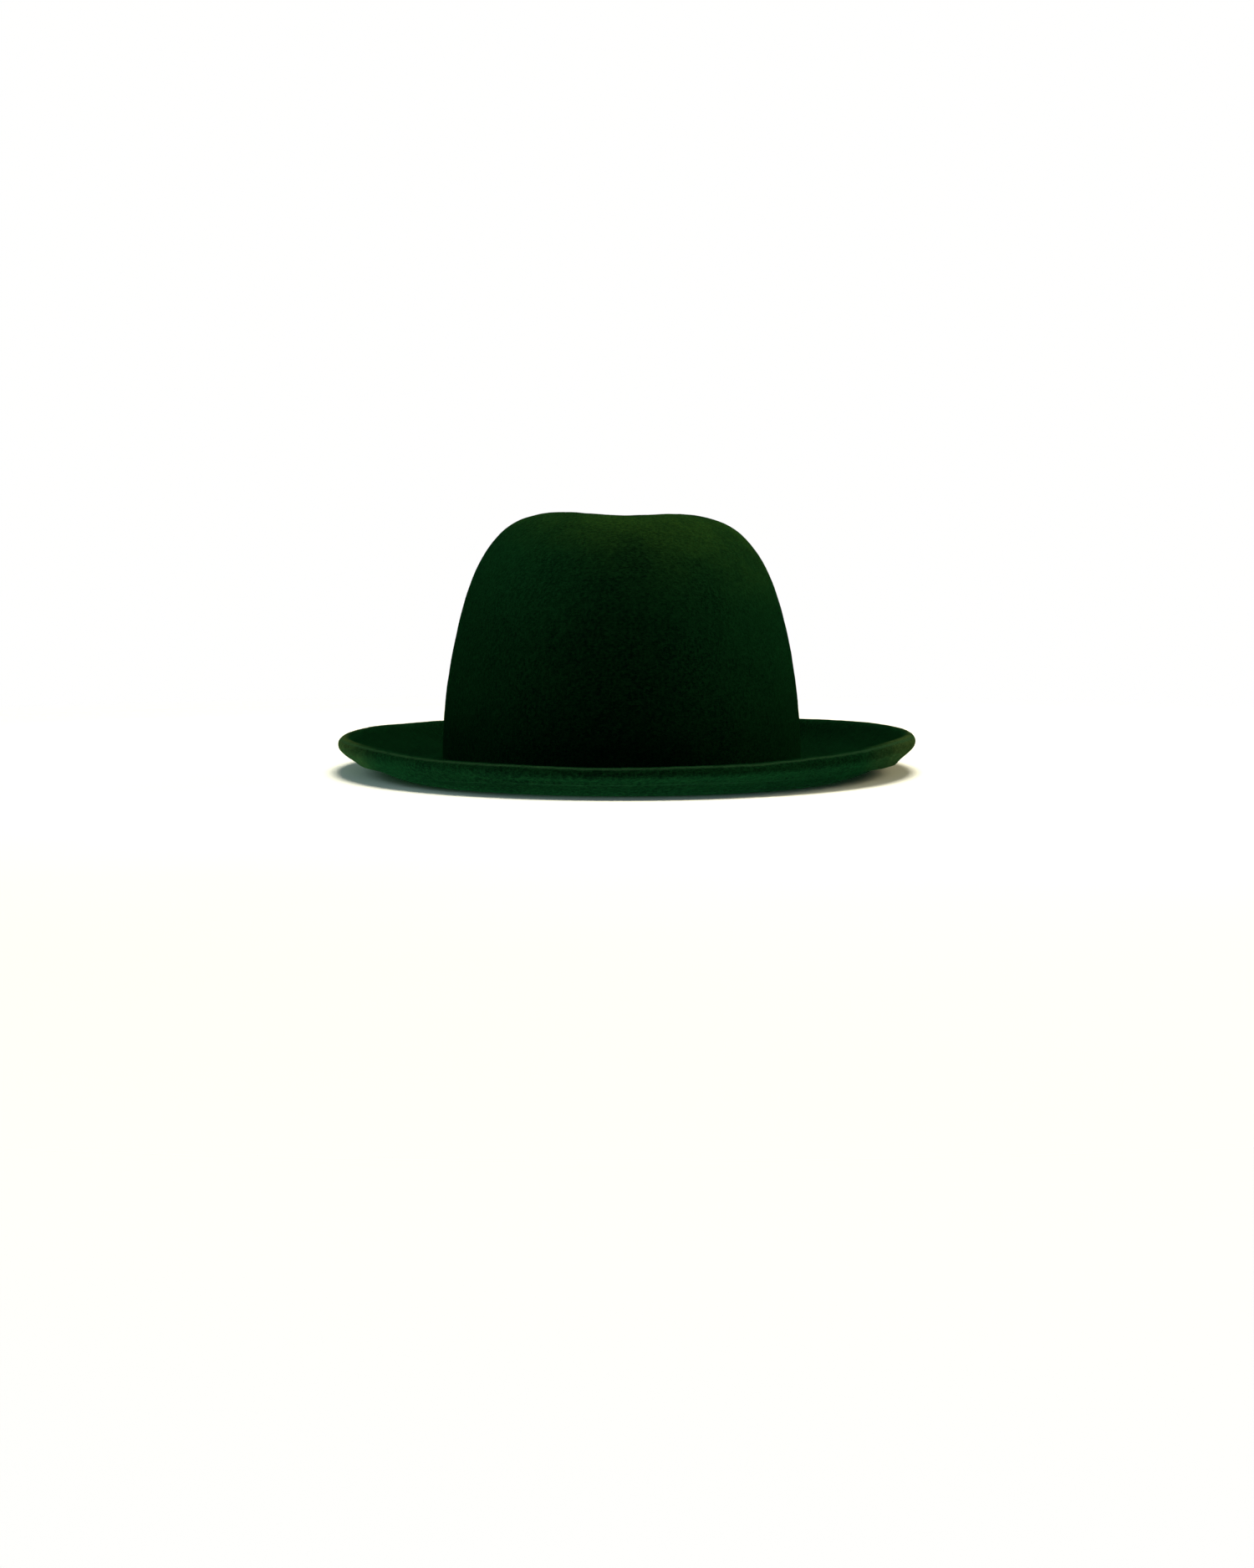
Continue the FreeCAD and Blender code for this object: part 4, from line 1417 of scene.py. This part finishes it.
def liningTip():
    l = liningLook

    def depthOf(radius, turn, places):
        pucker = gatherAt(turn) * 0.0006 * np.clip((radius - 0.72) / 0.28, 0, 1) ** 1.5
        soft = noiseOnDisc(radius, turn, 0.35, 6)
        return liningDepth(places) + wall["satin"] / 2 + pucker + 0.0003 * soft * (1 - radius)

    middles, tip = tipDisc("liningTip", l["seam"], depthOf, 0.00026, satin)
    wear(tip, "satin", "lining_tip")


def liningStitches():
    l = liningLook
    trip, angleOf = roundTrip(wall["tipDrop"] + wall["satin"], l["seam"])
    paths = []
    share = np.linspace(-1, 1, 11)
    for k in range(l["stitches"]):
        angle = float(angleOf(trip * (k + 0.5) / l["stitches"])) + 0.006 * share
        lift = 0.0003 * (1 - share**2) - 0.00025 * np.abs(share) ** 3
        depth = liningDepth(np.full(11, l["seam"])) + wall["satin"] + lift + 0.0002
        places = l["seam"] + share * 0.00065 / crownRise * 1.3
        paths.append(crownAt(angle, places, wall["felt"] / 2 + depth))
    seam = threadMesh("liningThread", paths, "lining", satinThread)
    wear(seam, "satin_thread", "lining_seam_stitches")


def tipShield():
    l = liningLook

    def depthOf(radius, turn, places):
        soft = noiseOnDisc(radius, turn, 0.3, 15)
        edge = 0.0002 * np.sin(9 * turn) * np.clip((radius - 0.8) / 0.2, 0, 1)
        return wall["tipDrop"] + wall["satin"] + 0.00045 + l["buckle"] * (soft + 0.6) + edge

    shield = tipDisc("clearShield", l["shieldPlace"], depthOf, 0.00025, film, 64)[1]
    wear(shield, "film", "tip_shield")


def sizeLabel():
    angle = math.radians(55)
    width, low, high = 0.016, 0.022, 0.046
    speed = (midWide * math.sin(angle)) ** 2 + (midLong * math.cos(angle)) ** 2
    along = edged(-width / 2, width / 2, 40, 0.0001)
    heights = edged(low, high, 56, 0.0001)
    angles = angle + along / math.sqrt(speed)
    a, h = np.meshgrid(along, heights)
    curl = 0.0006 * np.clip((h - 0.039) / 0.007, 0, 1) ** 2 * (0.5 + 0.5 * (a / width * 2) ** 2)
    middles = wallGrid(angles, heights, wall["liningGap"] + wall["satin"] + 0.00012 + curl)
    edge = np.minimum(width / 2 - np.abs(a), high - h)
    hem = 0.00005 * (np.clip((edge - 0.0001) / 0.0001, 0, 1) * (edge < 0.0016))
    half = np.full(a.shape, 0.00006)
    wear(thinSolid("blankLabel", middles, half, labelCloth, front=hem), "label", "size_label")


liningSide()
liningTip()
liningStitches()
tipShield()
sizeLabel()
print("lining made")

# pieces kept as they are inside the fold and behind the leather

hiddenLook = {
    "sweatband_reed": reedPlastic,
    "headline_stitches": handThread,
    "bow_stitches": handThread,
    "lining_tacks": handThread,
}
for name, finish in hiddenLook.items():
    mesh = frame["nodes"][name].data
    mesh.materials.clear()
    mesh.materials.append(finish)
print("hidden pieces finished")

# camera, floor and light

view = {
    "eye": (0.0025, -0.85, 0.072),
    "pitch": 5.38,
    "lens": 40.83,
}


def makeCamera():
    data = bpy.data.cameras.new("camera")
    data.lens = view["lens"]
    data.sensor_width = 36.0
    data.clip_start = 0.05
    camera = bpy.data.objects.new("camera", data)
    camera.location = view["eye"]
    camera.rotation_euler = (math.radians(90 - view["pitch"]), 0, 0)
    bpy.context.scene.collection.objects.link(camera)
    bpy.context.scene.camera = camera


lights = {
    "top": {"at": (0.15, 0.2, 1.5), "size": 0.9, "power": 34.0, "tone": (1.0, 0.95, 0.75)},
    "right": {"at": (1.3, 0.45, 0.75), "size": 0.8, "power": 10.0, "tone": (1.0, 0.88, 0.5)},
    "left": {"at": (-1.3, 0.35, 0.7), "size": 0.8, "power": 4.0, "tone": (0.65, 1.0, 0.9)},
    "front": {"at": (-0.2, -1.6, 0.9), "size": 1.2, "power": 3.0, "tone": (0.6, 0.95, 1.0)},
    "below": {"at": (-0.45, -0.6, -0.8), "size": 0.5, "power": 17.0, "tone": (0.95, 1.0, 0.97)},
}


def makeLights():
    for name, l in lights.items():
        data = bpy.data.lights.new(name, "AREA")
        data.shape = "DISK"
        data.size = l["size"]
        data.energy = l["power"]
        data.color = l["tone"]
        lamp = bpy.data.objects.new(name, data)
        lamp.location = l["at"]
        aim = Vector((0, 0, 0.05)) - lamp.location
        lamp.rotation_euler = aim.to_track_quat("-Z", "Y").to_euler()
        bpy.context.scene.collection.objects.link(lamp)


worldLook = {
    "light": (0.95, 0.97, 1.0, 1.0),
    "strength": 0.12,
    "seen": (1.0, 1.0, 0.995, 1.0),  # what the camera sees behind the hat
}


def makeWorld():
    world = bpy.data.worlds.new("studio")
    bpy.context.scene.world = world
    world.use_nodes = True
    tree = world.node_tree
    sky = tree.nodes["Background"]
    sky.inputs["Color"].default_value = worldLook["light"]
    sky.inputs["Strength"].default_value = worldLook["strength"]
    seen = addNode(tree, "ShaderNodeBackground")
    seen.inputs["Color"].default_value = worldLook["seen"]
    path = addNode(tree, "ShaderNodeLightPath")
    mix = addNode(tree, "ShaderNodeMixShader")
    tree.links.new(path.outputs["Is Camera Ray"], mix.inputs[0])
    tree.links.new(sky.outputs[0], mix.inputs[1])
    tree.links.new(seen.outputs[0], mix.inputs[2])
    tree.links.new(mix.outputs[0], tree.nodes["World Output"].inputs[0])


floorLook = {
    "tones": ((0.86, 0.86, 0.855), (0.88, 0.88, 0.875)),
    "fades": (0.28, 0.8),  # distances from the middle of the hat
    "half": 12.0,
    "steps": 24,
}


def makeFloor():
    # pale near the hat, gone before the skyline, and clear from underneath
    f = Finish("paleFloor")
    cloud = f.nap(60.0, 2.0)
    f.colour(f.mix(cloud["Cloud"], *floorLook["tones"]))
    f.rough(cloud["Cloud"], 0.85, 0.9)
    f.plain(Specular_IOR_Level=0.1)
    reach = addNode(f.tree, "ShaderNodeVectorMath", operation="LENGTH")
    f.tree.links.new(f.point, reach.inputs[0])
    far = rampNode(f.tree, reach.outputs["Value"], *floorLook["fades"])
    facing = addNode(f.tree, "ShaderNodeNewGeometry")
    path = addNode(f.tree, "ShaderNodeLightPath")
    gone = mathNode(f.tree, "MAXIMUM", far, facing.outputs["Backfacing"])
    gone = mathNode(f.tree, "MAXIMUM", gone, path.outputs["Is Shadow Ray"])
    clear = addNode(f.tree, "ShaderNodeBsdfTransparent")
    mix = addNode(f.tree, "ShaderNodeMixShader")
    f.tree.links.new(gone, mix.inputs[0])
    f.tree.links.new(f.shader.outputs[0], mix.inputs[1])
    f.tree.links.new(clear.outputs[0], mix.inputs[2])
    f.tree.links.new(mix.outputs[0], f.tree.nodes["Material Output"].inputs["Surface"])
    size, steps = floorLook["half"], floorLook["steps"]
    points = [
        (size * (2 * i / steps - 1), size * (2 * j / steps - 1), 0.0)
        for j in range(steps + 1) for i in range(steps + 1)
    ]
    floor = makeObject("floor", points, ringFaces(steps + 1, steps + 1, closed=False), f.material)


makeCamera()
makeLights()
makeWorld()
makeFloor()
bpy.context.scene.view_settings.view_transform = "Standard"
print("stage made")
